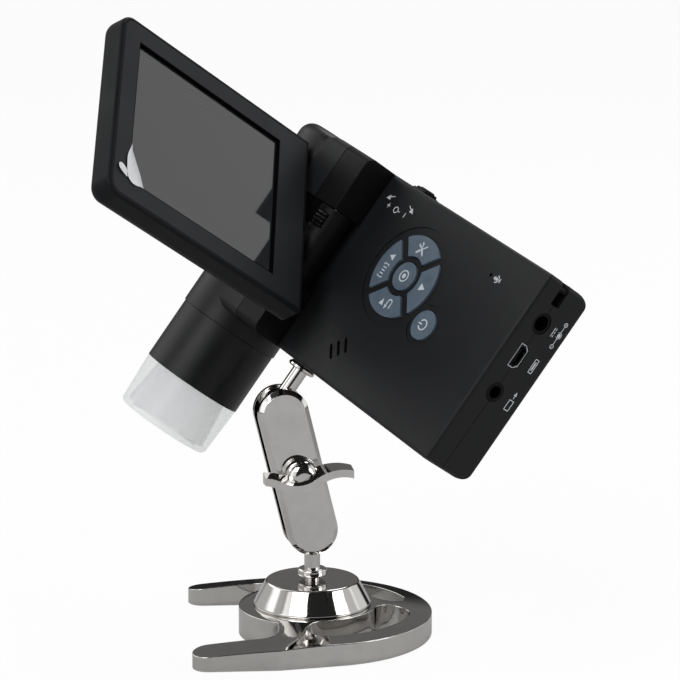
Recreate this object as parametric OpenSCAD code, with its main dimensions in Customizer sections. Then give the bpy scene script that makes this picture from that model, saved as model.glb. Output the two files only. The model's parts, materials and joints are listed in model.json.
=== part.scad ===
// Handheld digital microscope: a flat camera head with a lens tube, a turning
// flip-out screen and a keypad, held on a double ball arm over a split ring base.
// Sizes in millimetres. +Z is up; the origin is under the base, on the post axis.

/* [Base] */
// Outer radius of the base ring
base_r = 37.7; // [36:0.1:42]
// Height of the raised hub of the base
hub_h = 9.3; // [8:0.1:12]
// Radius of the flat top of the hub
hub_top_r = 21; // [20:0.1:24]
// Radius of the hub where the gaps beside the legs end
hub_r = 23.2; // [21:0.1:25]
// Fall of the base top for each millimetre outwards
base_fall = 0.145; // [0.08:0.01:0.18]
// Distance from the post axis to the leg tips
leg_reach = 38.5; // [34:0.5:50]
// Distance from the middle of the base to the outer side of a leg
leg_out = 40.5; // [38.5:0.1:46]
// Width of a leg
leg_w = 10; // [7:0.5:11]
// Width of the two curved slots
slot_w = 10.9; // [6:0.1:11]
// Radius of the middle line of the curved slots
slot_r = 25.85; // [25.5:0.05:27]
// First angle of the curved slots, from the +X axis
slot_from = 18; // [14:1:30]
// Last angle of the curved slots, from the +X axis
slot_to = 84; // [60:1:88]
// Lower radius of the turret
turret_r1 = 18.5; // [17:0.1:20]
// Upper radius of the turret
turret_r2 = 14.4; // [11:0.1:16]
// Height of the turret
turret_h = 7.9; // [6:0.1:12]

/* [Ball arm] */
// Height of the middle of the lower ball
ball_low_z = 31; // [28:0.1:34]
// Distance between the two ball middles
ball_gap = 44.8; // [44:0.1:60]
// Radius of both balls
ball_r = 4.6; // [4.2:0.05:5.2]
// Radius of the two ball stems
stem_r = 2.5; // [2:0.05:2.6]
// Distance from the upper ball to the head
stud_len = 14.2; // [13:0.1:20]
// Radius of the stop flange under the head
flange_r = 4.5; // [4:0.1:6]
// Thickness of each clamp plate
plate_t = 3.2; // [3:0.1:4]
// Gap between the clamp plates
plate_gap = 5.4; // [5.3:0.1:6]
// Width of the clamp plates
plate_w = 16; // [14:0.1:18]
// Overhang of the clamp plates past each ball middle
plate_over = 4.8; // [4:0.1:6]
// Bevel around the outer faces of the clamp plates
plate_bevel = 1.4; // [0.5:0.1:2]
// Radius of the clamp bolt
bolt_r = 2.4; // [2:0.1:2.8]
// Reach of each wing of the wing nut
wing_reach = 14.2; // [11:0.1:18]
// Thickness of the wings
wing_t = 2.4; // [1.8:0.1:3]
// Turn of the arm about the post at rest
stand_yaw = 9.1; // [-180:0.1:180]
// Lean of the arm at rest
arm_lean = 13.7; // [-30:0.1:40]
// Lean of the head post at rest
head_lean = 35.4; // [0:0.1:50]
// Turn of the head about its post at rest
head_yaw = -67; // [-120:0.1:-40]

/* [Head] */
// Length of the flat head from the hinge blocks to the port end
head_l = 85; // [82:0.1:96]
// Height of the head
head_h = 64.3; // [62:0.1:74]
// Thickness of the head
head_t = 19.6; // [19:0.1:24]
// Depth of the front shell, where the two shells meet
split_d = 7.6; // [7.2:0.1:8.4]
// Wall of the head shells
wall = 1.6; // [1.2:0.05:2]
// Rounding of the front edges of the head
front_round = 1.4; // [0.6:0.1:2]
// Rounding of the long back edges of the head
back_round = 5.6; // [2.6:0.1:6]
// Rounding of the other edges of the port end
end_round = 1.6; // [0.6:0.1:3]
// Distance of the mounting thread from the port end
mount_u = 80.5; // [74:0.1:82]
// Depth of the mounting thread behind the front face
mount_w = 9.8; // [9:0.1:11]
// Rise of the hinge blocks over the front face
block_rise = 11.3; // [11:0.1:13]
// Height of each hinge block along the hinge
block_len = 19.4; // [17:0.1:21]
// Width of the removable cap of each hinge block
block_cap = 12.1; // [11:0.1:13]
// Rounding of the outer ends of the hinge blocks
block_round = 3; // [1:0.1:4]

/* [Lens tube] */
// Radius of the tube housing
tube_r = 17; // [16.6:0.1:18]
// Distance from the tube axis to the port end
tube_u = 115; // [114:0.1:118]
// Depth of the tube axis behind the front face
tube_w = 4.4; // [4.2:0.1:5]
// Wall of the tube housing
tube_wall = 1.8; // [1.5:0.1:2.2]
// Reach of the housing past the lower side of the head
tube_drop = 5; // [4:0.1:8]
// Rounding of the closed end of the tube
tube_round = 4.6; // [2:0.1:6]
// Length of the focusing sleeve
sleeve_l = 20.8; // [16:0.1:30]
// Radius of the focusing sleeve
sleeve_r = 16.65; // [16.2:0.05:17]
// Length of the clear cap
cap_l = 16.8; // [14:0.1:24]
// Radius of the clear cap at its rim
cap_r = 15.8; // [14.5:0.1:16]
// Wall of the clear cap
cap_wall = 1.7; // [1.2:0.1:2]
// Radius of the opening in the clear cap
cap_open = 11.8; // [8:0.1:12.5]
// Number of light emitters around the lens
led_count = 8; // [4:1:10]

/* [Screen] */
// Length of the screen unit
screen_l = 84; // [80:0.1:94]
// Height of the screen unit
screen_h = 63.5; // [60:0.1:72]
// Thickness of the screen unit
screen_t = 9.8; // [9:0.1:10]
// Depth of the front bezel part
bezel_d = 3; // [2.6:0.1:4]
// Width of the bezel at the free end
bezel_free = 7.5; // [5:0.1:9]
// Width of the bezel along the long sides
bezel_side = 7.2; // [5:0.1:9]
// Width of the bezel at the hinge end
bezel_hinge = 13.7; // [12:0.1:16]
// Depth of the glass below the bezel
glass_sink = 1.1; // [0.4:0.1:1.2]
// Distance from the inner faces of the hinge blocks to the hinge axis
pin_back = 5.2; // [4.9:0.05:5.4]
// Distance of the swivel axis behind the hinge axis when the screen is open
swivel_off = 2.25; // [2:0.05:2.6]
// Clearance between the hinge blocks and the screen as it folds
flip_room = 0.22; // [0.15:0.01:0.5]
// Opening angle of the screen at rest
flip_open = 90; // [90:1:90]
// Turn of the screen about its long axis at rest
screen_turn = 45; // [0:1:90]

/* [Keys and ports] */
// Distance of the keypad middle from the port end
pad_u = 53; // [50:0.1:56]
// Distance of the keypad middle from the upper side
pad_v = 24.3; // [23:0.1:28]
// Radius of the sunk ring of the keypad
pad_r = 16.6; // [16:0.1:18]
// Radius of the middle key
ok_r = 4.65; // [4:0.05:5]
// Inner radius of the four ring keys
key_in = 6.7; // [6.2:0.1:7.5]
// Outer radius of the four ring keys
key_out = 13.7; // [12:0.1:14.5]
// Width of the bars between the ring keys
key_bar = 2.6; // [2:0.1:3.5]
// Key height above the sunk ring
key_rise = 0.75; // [0.6:0.05:0.9]
// Distance of the power key from the port end
power_u = 33.4; // [31:0.1:34]
// Distance of the power key from the upper side
power_v = 33.1; // [31:0.1:36]
// Radius of the power key
power_r = 4.75; // [4:0.05:5]
// Depth of the port axes behind the front face
port_w = 7.8; // [7.4:0.1:8.4]
// Distance of the power jack from the upper side
dc_v = 13.4; // [12:0.1:15]
// Radius of the power jack bore
dc_r = 2.35; // [2:0.05:2.6]
// Distance of the data port from the upper side
usb_v = 24.85; // [22:0.1:27]
// Height of the data port along the head
usb_h = 7.8; // [7.4:0.1:8.2]
// Width of the data port across the head
usb_w = 3.9; // [3.6:0.1:4.2]
// Distance of the video jack from the upper side
av_v = 37.2; // [34:0.1:40]
// Radius of the video jack bore
av_r = 1.95; // [1.6:0.05:2]
// Distance of the brightness wheel from the port end
dial_u = 78.5; // [76:0.1:80]
// Radius of the brightness wheel
dial_r = 6; // [5:0.1:6.5]
// Width of the brightness wheel
dial_w = 5; // [4:0.1:5.4]

/* [Clearances] */
// Running clearance between turning pieces
run = 0.08; // [0.03:0.01:0.1]
// Clearance around keys and other sprung pieces
key_gap = 0.25; // [0.2:0.05:0.4]
// Gap between shells that lie side by side
seam = 0.15; // [0.1:0.05:0.3]
// Clearance between round pieces that are fixed to each other
snug = 0.05; // [0.03:0.01:0.1]

/* [Hidden] */
$fn = 96;
tiny = 0.01;
// base
cone_r1 = hub_top_r + hub_h / base_fall;
tip_r = leg_w / 2 - 0.1;
leg_bend = 12;
slot_ease = 0.06;
leg_in = leg_out - leg_w;
notch_x = hub_r / 2;
notch_round = 6;
turret_z = hub_h + turret_h;
nut_af = 10;
nut_h = 3;
pad_t = 1;
pad_in = 1.5;
pad_edge = slot_r - slot_w / 2 - pad_in;
nut_sink = pad_t;
nut_room = 0.25;
thread_r = 2.9;
thread_from = pad_t + 0.2;
collar_r = 4.6;
collar_z = turret_z + 1.1;
collar_h = 2.6;
neck_r = 2.2;
// arm
plate_l = ball_gap + 2 * plate_over;
plate_out = plate_gap / 2 + plate_t;
bolt_head_r = 4.2;
bolt_head_h = 2.6;
washer_r = 5.6;
washer_t = 0.8;
hub_nut_r = 5.2;
hub_nut_h = 6.2;
hub_dome = 3.8;
bolt_cover = 2.2;
wing_d = 6.8;
wing_back = 2;
thread_in = 6.2;
insert_r = flange_r - 0.9;
insert_l = 8;
flange_t = 2.2;
// head
block_inner = 0.4;
deck = 0.35;
front_skin = 2;
cap_x0 = -head_l - block_cap;
barrel_u = head_l + pin_back;
barrel_w = block_rise / 2;
barrel_r = barrel_w - seam;
hinge_gap = sqrt(barrel_w * barrel_w + pin_back * pin_back) + flip_room;
barrel_len = head_h - 2 * block_len - 2 * 0.2;
pin_r = 1.5;
pin_in = 7;
pin_out = 6;
tube_len = head_h + tube_drop;
tube_in = tube_r - tube_wall;
top_skin = 2;
sleeve_z = -tube_len - snug;
join_round = 0.12;
spigot_r = tube_in - run;
spigot_up = 9;
carrier_r = spigot_r - 1.5 - run;
sleeve_in = spigot_r - 1.5;
cap_z = sleeve_z - sleeve_l;
cap_lap = 4;
cap_in = sleeve_in - run - 1.2;
dc_wall = 0.9;
av_wall = 1.05;
board_y = port_w + dc_r + dc_wall + snug;
board_t = 1.2;
board_in = 0.9;
board_x = cap_x0 + 2.1;
cover_t = 1.2;
cover_ledge = 1.5;
cover_l = 56;
cover_h = 40;
cover_x = -70;
cover_z = -53;
battery_t = 4.4;
key_board_y = 4.4;
key_board_t = 0.9;
key_travel = 0.5;
key_board_in = 5.3;
key_post_in = 1.5;
key_board_x0 = -pad_u - key_out - key_board_in;
key_board_l = -power_u + power_r + key_board_in / 2 - key_board_x0;
key_board_h = 2 * (key_out + key_board_in);
key_board_z0 = -pad_v - key_board_h / 2;
mic_u = 21.4;
mic_v = 9.75;
spk_u = 59.7;
spk_v = head_h - 10.8;
spk_r = 6.6;
spk_slot_l = 5.4;
spk_slot_w = 1.1;
spk_pitch = 2.85;
dial_w0 = head_t / 2;
dial_v = 4.2;
usb_wall = 0.35;
usb_d = 7;
jack_d = 11;
dc_block = 6;
av_block = 5.2;
card_w = 2 * (port_w - front_skin) - 2 * snug;
card_t = 1.9;
card_u = 8.5;
card_d = 14;
strap_u = 4.5;
strap_w = 7.9;
strap_r = 0.85;
strap_room = 3.5;
strap_drop = 7.2;
strap_seat = 0.6;
strap_in = 1.2;
strap_deep = 2.2;
// screen
glass_t = 1;
panel_t = 2.2;
shaft_r = 2.2;
shaft_head = 3.8;
half_t = screen_t / 2;
screen_wall = 2;
plate_in = 1.3;
free_round = 5;
hinge_round = 1.6;
rim_round = 1.1;
screen_back_round = 4.4;
hinge_back_round = 2;
neck_barrel = 4.4;
neck_room = 0.35;
shaft_from = 2.7;
rib_count = 4;
rib_w = 4.6;
rib_deep = 2.2;
window_h = barrel_len / 2 - neck_barrel - 3.15;
open_x0 = hinge_gap + bezel_hinge;
open_x1 = hinge_gap + screen_l - bezel_free;
open_z = screen_h / 2 - bezel_side;

// ---------- frames ----------
module at_arm() {
  translate([0, 0, ball_low_z]) rotate([0, 0, stand_yaw]) rotate([0, -arm_lean, 0]) children();
}
module at_stud() {
  at_arm() translate([0, 0, ball_gap]) rotate([0, arm_lean + head_lean, 0]) children();
}
// head frame: X towards the port end, Y into the head from its front face, Z to its upper side
module at_head() {
  at_stud() translate([0, 0, stud_len]) rotate([0, 0, head_yaw])
    translate([mount_u, -mount_w, head_h]) children();
}
// closed screen frame about the hinge axis: X along the screen, +Y on the display side
module at_flip() {
  at_head() translate([-barrel_u, -barrel_w, -head_h / 2]) rotate([0, 0, -flip_open]) children();
}
module at_screen() {
  at_flip() translate([0, -swivel_off, 0]) rotate([screen_turn, 0, 0]) children();
}
module at_tube() {
  at_head() translate([-tube_u, tube_w, 0]) children();
}

// ---------- shared shapes ----------
// rectangle x0..x1, y0..y1 with corner roundings: low left, low right, high right, high left
module rrect(x0, x1, y0, y1, a, b, c, d) {
  difference() {
    translate([x0, y0]) square([x1 - x0, y1 - y0]);
    translate([x0, y0]) corner(a);
    translate([x1, y0]) mirror([1, 0]) corner(b);
    translate([x1, y1]) mirror([1, 0]) mirror([0, 1]) corner(c);
    translate([x0, y1]) mirror([0, 1]) corner(d);
  }
}
module corner(r) {
  if (r > 0)
    difference() {
      translate([-1, -1]) square([r + 1, r + 1]);
      translate([r, r]) circle(r);
    }
}
module ring(ro, ri, h) {
  difference() {
    cylinder(h = h, r = ro);
    translate([0, 0, -1]) cylinder(h = h + 2, r = ri);
  }
}
// cylinder along Y from y = 0
module ycyl(r, h) {
  rotate([-90, 0, 0]) cylinder(h = h, r = r);
}
// cylinder along X from x = 0
module xcyl(r, h) {
  rotate([0, 90, 0]) cylinder(h = h, r = r);
}
module slot2d(l, w) {
  square([l - w, w], center = true);
  translate([(l - w) / 2, 0]) circle(w / 2);
  translate([-(l - w) / 2, 0]) circle(w / 2);
}

// ---------- stand ----------
// cutter for one curved slot: a slice of a ring with a round end at each side
module curved_slot() {
  am = (slot_from + slot_to) / 2;
  far = 2 * base_r;
  translate([0, 0, -1]) {
    intersection() {
      ring(slot_r + slot_w / 2, slot_r - slot_w / 2, hub_h + 2);
      linear_extrude(height = hub_h + 2)
        polygon([[0, 0], [far * cos(slot_from), far * sin(slot_from)], [far * cos(am), far * sin(am)],
          [far * cos(slot_to), far * sin(slot_to)]]);
    }
    for (a = [slot_from, slot_to])
      rotate(a) translate([slot_r, 0, 0]) cylinder(h = hub_h + 2, r = slot_w / 2 + slot_ease);
  }
}
// leg whose outer side runs straight, then along a tangent into the disc
module leg2d() {
  bend = sqrt(leg_bend * leg_bend + leg_out * leg_out);
  turn = atan2(-leg_out, -leg_bend) + acos(min(1, base_r / bend));
  difference() {
    polygon([[-leg_reach, 0], [-leg_reach, -leg_out], [-leg_bend, -leg_out],
      [base_r * cos(turn), base_r * sin(turn)], [0, 0]]);
    translate([-leg_reach, -leg_out]) corner(tip_r);
  }
}
module base_outline() {
  difference() {
    union() {
      circle(base_r);
      leg2d();
      mirror([0, 1]) leg2d();
    }
    difference() {
      rrect(-2 * leg_reach, -notch_x, -leg_in, leg_in, 0, notch_round, notch_round, 0);
      circle(hub_r);
    }
    translate([-leg_reach, -leg_in]) mirror([0, 1]) corner(tip_r);
    translate([-leg_reach, leg_in]) corner(tip_r);
  }
}
module base_plate() {
  color("#c9cacb")
    difference() {
      intersection() {
        linear_extrude(height = hub_h) base_outline();
        cylinder(h = hub_h, r1 = cone_r1, r2 = hub_top_r);
      }
      translate([0, 0, -1]) cylinder(h = hub_h + 2, r = thread_r + run);
      translate([0, 0, -1]) cylinder(h = nut_sink + nut_h + 1 + nut_room, r = nut_af * 0.72);
      translate([0, 0, -1]) cylinder(h = pad_t + 1, r = pad_edge + snug);
      curved_slot();
      mirror([0, 1, 0]) curved_slot();
    }
}
module foot_pad() {
  color("#3b3c3d") cylinder(h = pad_t, r = pad_edge);
}
module turret() {
  color("#cfd0d1")
    difference() {
      translate([0, 0, hub_h])
        rotate_extrude()
          polygon([[0, 0], [turret_r1 - 0.3, 0], [turret_r1, 0.3], [turret_r1, 0.8],
            [turret_r2 + 0.3, turret_h - 0.35], [turret_r2 - 0.2, turret_h], [0, turret_h]]);
      translate([0, 0, hub_h - 1]) cylinder(h = turret_h + 2, r = thread_r + run);
    }
}
module post_nut() {
  color("#b9babb")
    translate([0, 0, nut_sink + nut_room])
      difference() {
        cylinder(h = nut_h, r = nut_af / 2 / cos(30), $fn = 6);
        translate([0, 0, -1]) cylinder(h = nut_h + 2, r = thread_r + run);
      }
}
module lower_ball_stud() {
  color("#c4c5c6") {
    translate([0, 0, thread_from]) cylinder(h = turret_z - thread_from + tiny, r = thread_r);
    translate([0, 0, turret_z + run]) cylinder(h = collar_z - turret_z, r = neck_r);
    translate([0, 0, turret_z - 1]) cylinder(h = 2, r = neck_r);
    translate([0, 0, collar_z])
      rotate_extrude()
        rrect(0, collar_r, 0, collar_h, 0, 0.9, 0.9, 0);
    translate([0, 0, collar_z]) cylinder(h = ball_low_z - collar_z, r = stem_r);
    translate([0, 0, ball_low_z]) sphere(ball_r);
  }
}
// plate standing on its inner face, y from 0 to plate_t away from the gap
module clamp_plate(bevel) {
  r0 = plate_w / 2;
  mid = ball_gap / 2;
  run_l = plate_l - plate_w;
  difference() {
    union() {
      ycyl_stadium(run_l, r0, plate_t - bevel);
      translate([0, plate_t - bevel, 0]) {
        translate([0, 0, run_l / 2]) rotate([-90, 0, 0]) cylinder(h = bevel, r1 = r0, r2 = r0 - bevel);
        translate([0, 0, -run_l / 2]) rotate([-90, 0, 0]) cylinder(h = bevel, r1 = r0, r2 = r0 - bevel);
        translate([0, 0, -run_l / 2])
          linear_extrude(height = run_l)
            polygon([[-r0, 0], [r0, 0], [r0 - bevel, bevel], [-r0 + bevel, bevel]]);
      }
    }
    translate([0, -plate_gap / 2, mid]) sphere(ball_r + run);
    translate([0, -plate_gap / 2, -mid]) sphere(ball_r + run);
    translate([0, -1, 0]) ycyl(bolt_r + run, plate_t + 2);
  }
}
module ycyl_stadium(l, r, h) {
  translate([-r, 0, -l / 2]) cube([2 * r, h, l]);
  translate([0, 0, l / 2]) ycyl(r, h);
  translate([0, 0, -l / 2]) ycyl(r, h);
}
module front_plate() {
  color("#d0d0d1")
    at_arm() translate([0, -plate_gap / 2, ball_gap / 2]) mirror([0, 1, 0]) clamp_plate(plate_bevel);
}
module rear_plate() {
  color("#cbcccd")
    at_arm() translate([0, plate_gap / 2, ball_gap / 2]) clamp_plate(plate_bevel);
}
bolt_tip = -plate_out - washer_t - hub_nut_h + bolt_cover;
module clamp_bolt() {
  color("#bfc0c1")
    at_arm() translate([0, 0, ball_gap / 2]) {
      translate([0, bolt_tip, 0]) ycyl(bolt_r, plate_out - bolt_tip);
      translate([0, plate_out, 0])
        rotate([-90, 0, 0])
          rotate_extrude()
            rrect(0, bolt_head_r, 0, bolt_head_h, 0, 0, 1.2, 0);
    }
}
module bolt_washer() {
  color("#c8c9ca")
    at_arm() translate([0, -plate_out, ball_gap / 2]) rotate([90, 0, 0])
      ring(washer_r, bolt_r + run, washer_t);
}
// one bend of the wings: a slice of a tube about the axis of the bend, thicker at the back
module wing_bend(x, z, inner, outer, from, to, in_back, out_back) {
  mid = (from + to) / 2;
  far = 3 * outer;
  translate([x, 0, z]) rotate([90, 0, 0])
    intersection() {
      difference() {
        cylinder(h = wing_d, r1 = outer + out_back, r2 = outer);
        translate([0, 0, -tiny]) cylinder(h = wing_d + 2 * tiny, r1 = inner + in_back, r2 = inner);
      }
      linear_extrude(height = wing_d)
        polygon([[0, 0], [far * cos(from), far * sin(from)], [far * cos(mid), far * sin(mid)],
          [far * cos(to), far * sin(to)]]);
    }
}
wing_low_r = 12;
wing_high_r = 12;
wing_a = -54.75;
wing_b = -119;
wing_x = -2.3;
wing_z0 = 8.15;
wing_more = 1.3;
module wings() {
  gap = wing_low_r + wing_high_r;
  intersection() {
    union() {
      wing_bend(wing_x, wing_z0, wing_low_r - wing_t, wing_low_r, wing_b - 0.2, wing_a + 0.2, -wing_more, 0);
      wing_bend(wing_x + gap * cos(wing_a), wing_z0 + gap * sin(wing_a), wing_high_r, wing_high_r + wing_t,
        60, wing_a + 180, 0, wing_more);
      wing_bend(wing_x + gap * cos(wing_b), wing_z0 + gap * sin(wing_b), wing_high_r, wing_high_r + wing_t,
        wing_b + 180, 105, 0, wing_more);
    }
    // plan outline: deep at the hub, shallow at the tips
    translate([0, 0, -wing_reach])
      linear_extrude(height = 2 * wing_reach)
        polygon([[-wing_reach + 1.6, -wing_d], [wing_reach + 1, -wing_d], [wing_reach + 1, -wing_d + 4.4],
          [hub_nut_r, 0], [-hub_nut_r, 0], [-wing_reach + 1.6, -wing_d + 4.2]]);
  }
}
module wing_nut() {
  nut_y = -plate_out - washer_t;
  color("#c6c7c8")
    at_arm() translate([0, nut_y, ball_gap / 2]) rotate([0, arm_lean, 0])
      difference() {
        union() {
          rotate([90, 0, 0])
            rotate_extrude()
              rrect(0, hub_nut_r, 0, hub_nut_h, 0, 0.5, hub_dome, 0);
          translate([0, -wing_back, 0]) wings();
        }
        rotate([90, 0, 0]) translate([0, 0, -1]) cylinder(h = hub_nut_h + 1 - bolt_cover, r = bolt_r + run);
      }
}
module upper_ball_stud() {
  color("#c4c5c6")
    at_stud() {
      sphere(ball_r);
      cylinder(h = stud_len - flange_t, r = stem_r);
      translate([0, 0, stud_len - flange_t])
        rotate_extrude()
          polygon([[0, 0], [flange_r - 0.5, 0], [flange_r, 0.4], [flange_r, 1],
            [flange_r - 1, flange_t - run], [0, flange_t - run]]);
      translate([0, 0, stud_len - 1]) cylinder(h = thread_in + 1, r = thread_r);
    }
}

// ---------- head shells ----------
// outer body of the flat head grown inwards by d on every side
module head_form(d, x0) {
  fr = max(front_round - d, 0.2);
  br = max(back_round - d, 0.4);
  er = max(end_round - d, 0.2);
  intersection() {
    translate([0, 0, -head_h + d])
      linear_extrude(height = head_h - 2 * d)
        rrect(x0, -d, d, head_t - d, 0, fr, er, 0);
    rotate([90, 0, 0])
      translate([0, 0, d - head_t])
        linear_extrude(height = head_t - 2 * d)
          rrect(x0, -d, -head_h + d, -d, 0, er, er, 0);
    rotate([90, 0, 90])
      translate([0, 0, x0])
        linear_extrude(height = -x0)
          rrect(d, head_t - d, -head_h + d, -d, fr, br, br, fr);
  }
}
module tube_cut(grow) {
  translate([-tube_u, tube_w, -2 * head_h]) cylinder(h = 3 * head_h, r = tube_r + grow);
}
module block_form(z0, z1, hi, lo, d) {
  rotate([90, 0, 90])
    translate([0, 0, -tube_u + d])
      linear_extrude(height = tube_u - head_l - 2 * d)
        rrect(-block_rise + d, split_d, z0 + d, z1 - d, lo, 0, 0, hi);
}
module blocks(d) {
  r = max(block_round - d, 0.3);
  block_form(-block_len, 0, r, block_inner, d);
  block_form(-head_h, -head_h + block_len, block_inner, r, d);
}
module cap_zone(d) {
  translate([cap_x0 - d, -block_rise - 1, -head_h - 1])
    cube([block_cap + 1 + 2 * d, block_rise + 1 + 0.4, head_h + 2]);
}
module port_cuts() {
  translate([-wall - 1, port_w, -dc_v]) xcyl(dc_r + dc_wall + 2 * snug, wall + 2);
  translate([-wall - 1, port_w, -av_v]) xcyl(av_r + av_wall + 2 * snug, wall + 2);
  translate([1, port_w, -usb_v])
    rotate([0, -90, 0]) rotate([0, 0, 90]) linear_extrude(height = wall + 2) usb_profile(-seam);
}
module card_cut() {
  translate([-card_u - card_t / 2 - seam, port_w - card_w / 2 - seam, -head_h - 1])
    cube([card_t + 2 * seam, card_w + 2 * seam, wall + 2]);
}
module wheel_cut() {
  translate([-dial_u - dial_w / 2 - key_gap, dial_w0, -dial_v]) xcyl(dial_r + 0.5, dial_w + 2 * key_gap);
}
module insert_cut() {
  translate([-mount_u, mount_w, -head_h - 1]) cylinder(h = insert_l + 1, r = insert_r + snug);
}
module strap_box() {
  translate([-strap_u - 1, strap_w - strap_room / 2 - 1, -strap_drop - 1])
    cube([strap_u + 1, strap_room + 2, strap_drop + 1]);
}
module strap_cut() {
  translate([-strap_u, strap_w - strap_room / 2, -strap_drop])
    cube([strap_u + 1, strap_room, strap_drop + 1]);
  strap_rod(strap_seat + snug, strap_r + snug);
}
// rod across the strap notch that ends in the walls on both sides
module strap_rod(seat, r) {
  translate([-strap_in, strap_w - strap_room / 2 - seat, -strap_deep])
    ycyl(r, strap_room + 2 * seat);
}
module key_window(grow) {
  translate([-pad_u, 0, -pad_v]) rotate([90, 0, 0]) {
    linear_extrude(height = 8, center = true) {
      circle(ok_r + grow);
      for (a = [0, 90, 180, 270])
        rotate(a) key2d(grow);
    }
  }
  translate([-power_u, 0, -power_v]) rotate([90, 0, 0])
    cylinder(h = 8, r = power_r + grow, center = true);
}
// one ring key that points along +X, between the diagonal bars
module key2d(grow) {
  b = (key_bar / 2 - grow) * sqrt(2);
  far = 2 * key_out;
  intersection() {
    difference() {
      circle(key_out + grow);
      circle(key_in - grow);
    }
    polygon([[b, 0], [far, far - b], [far, b - far]]);
  }
}
module front_shell() {
  color("#1f2022")
    at_head()
      difference() {
        union() {
          intersection() {
            head_form(0, -tube_u);
            translate([-tube_u, -1, -head_h - 1]) cube([tube_u + 1, split_d + 1 - seam / 2, head_h + 2]);
          }
          // behind the hinge blocks the face runs square to the edges
          intersection() {
            blocks(0);
            translate([-2 * tube_u, 0, -2 * head_h]) cube([2 * tube_u, head_t, 3 * head_h]);
          }
        }
        // hollow of the flat head, with walls left around the strap notch
        difference() {
          intersection() {
            head_form(wall, -tube_u);
            translate([-tube_u - 1, front_skin, -head_h]) cube([tube_u + 1, head_t, head_h]);
          }
          strap_box();
        }
        // blocks stop at the split line too
        translate([-2 * tube_u, split_d - seam / 2, -head_h - 1]) cube([2 * tube_u, head_t, head_h + 2]);
        tube_cut(snug);
        cap_zone(seam);
        // sunk keypad ring
        translate([-pad_u, deck, -pad_v]) rotate([90, 0, 0]) cylinder(h = 2, r = pad_r);
        translate([-power_u, deck, -power_v]) rotate([90, 0, 0]) cylinder(h = 2, r = power_r + 1.9);
        key_window(key_gap);
        // sound openings
        translate([-mic_u, -1, -mic_v]) ycyl(0.6, front_skin + 2);
        for (i = [-1, 0, 1])
          translate([-spk_u + i * spk_pitch * 0.72, -1, -spk_v + i * spk_pitch * 0.72])
            rotate([-90, 0, 0]) linear_extrude(height = front_skin + 2)
              rotate(45) slot2d(spk_slot_l, spk_slot_w);
        port_cuts();
        card_cut();
        wheel_cut();
        insert_cut();
        strap_cut();
      }
}
module back_shell() {
  color("#1e1f21")
    at_head()
      difference() {
        intersection() {
          head_form(0, -tube_u);
          translate([-tube_u, split_d + seam / 2, -head_h - 1]) cube([tube_u + 1, head_t, head_h + 2]);
        }
        difference() {
          intersection() {
            head_form(wall, -tube_u);
            translate([-tube_u - 1, 0, -head_h]) cube([tube_u + 1, head_t, head_h]);
          }
          strap_box();
        }
        tube_cut(snug);
        // battery bay with a ledge for its cover
        translate([cover_x - seam, head_t - cover_t, cover_z - seam])
          cube([cover_l + 2 * seam, cover_t + 1, cover_h + 2 * seam]);
        translate([cover_x + cover_ledge, head_t - wall - 1, cover_z + cover_ledge])
          cube([cover_l - 2 * cover_ledge, wall + 2, cover_h - 2 * cover_ledge]);
        port_cuts();
        card_cut();
        wheel_cut();
        insert_cut();
        strap_cut();
        screw_places() translate([0, -screw_sink, 0]) ycyl(screw_r + seam, 3);
        screw_places() translate([0, -4, 0]) ycyl(1.05, 6);
      }
}
screw_r = 2;
screw_head = 0.8;
screw_sink = 0.95;
screw_in = 6.2;
module screw_places() {
  for (x = [cap_x0 + screw_in, -screw_in])
    for (z = [-screw_in, -head_h + screw_in])
      translate([x, head_t, z]) children();
}
module case_screws() {
  color("#55575a")
    at_head()
      screw_places()
        difference() {
          union() {
            translate([0, -screw_sink, 0]) ycyl(screw_r, screw_head);
            translate([0, -6.4, 0]) ycyl(1, 6);
          }
          translate([-1.3, -screw_sink + 0.35, -0.25]) cube([2.6, 1, 0.5]);
          translate([-0.25, -screw_sink + 0.35, -1.3]) cube([0.5, 1, 2.6]);
        }
}
module hinge_cap(z0, z1, hi, lo) {
  difference() {
    intersection() {
      block_form(z0, z1, hi, lo, 0);
      cap_zone(0);
    }
    translate([-barrel_u, -barrel_w, -head_h / 2])
      cylinder(h = barrel_len + 2 * pin_out, r = pin_r + snug, center = true);
  }
}
// fixed part of a hinge block, between its cap and the lens tube
module hinge_base(z0, z1, hi, lo) {
  difference() {
    intersection() {
      block_form(z0, z1, hi, lo, 0);
      translate([-tube_u, -block_rise, -head_h])
        cube([tube_u + cap_x0 - seam, block_rise, head_h]);
    }
    tube_cut(snug);
  }
}
module upper_hinge_base() {
  color("#1f2022") at_head() hinge_base(-block_len, 0, block_round, block_inner);
}
module lower_hinge_base() {
  color("#1f2022") at_head() hinge_base(-head_h, -head_h + block_len, block_inner, block_round);
}
module upper_hinge_cap() {
  color("#222325") at_head() hinge_cap(-block_len, 0, block_round, block_inner);
}
module lower_hinge_cap() {
  color("#222325") at_head() hinge_cap(-head_h, -head_h + block_len, block_inner, block_round);
}
module hinge_pins() {
  color("#d7d8d9")
    at_head()
      for (s = [-1, 1])
        translate([-barrel_u, -barrel_w, -head_h / 2 + s * (barrel_len / 2 + (pin_out - pin_in) / 2)])
          cylinder(h = pin_in + pin_out - 0.4, r = pin_r, center = true);
}

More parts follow.
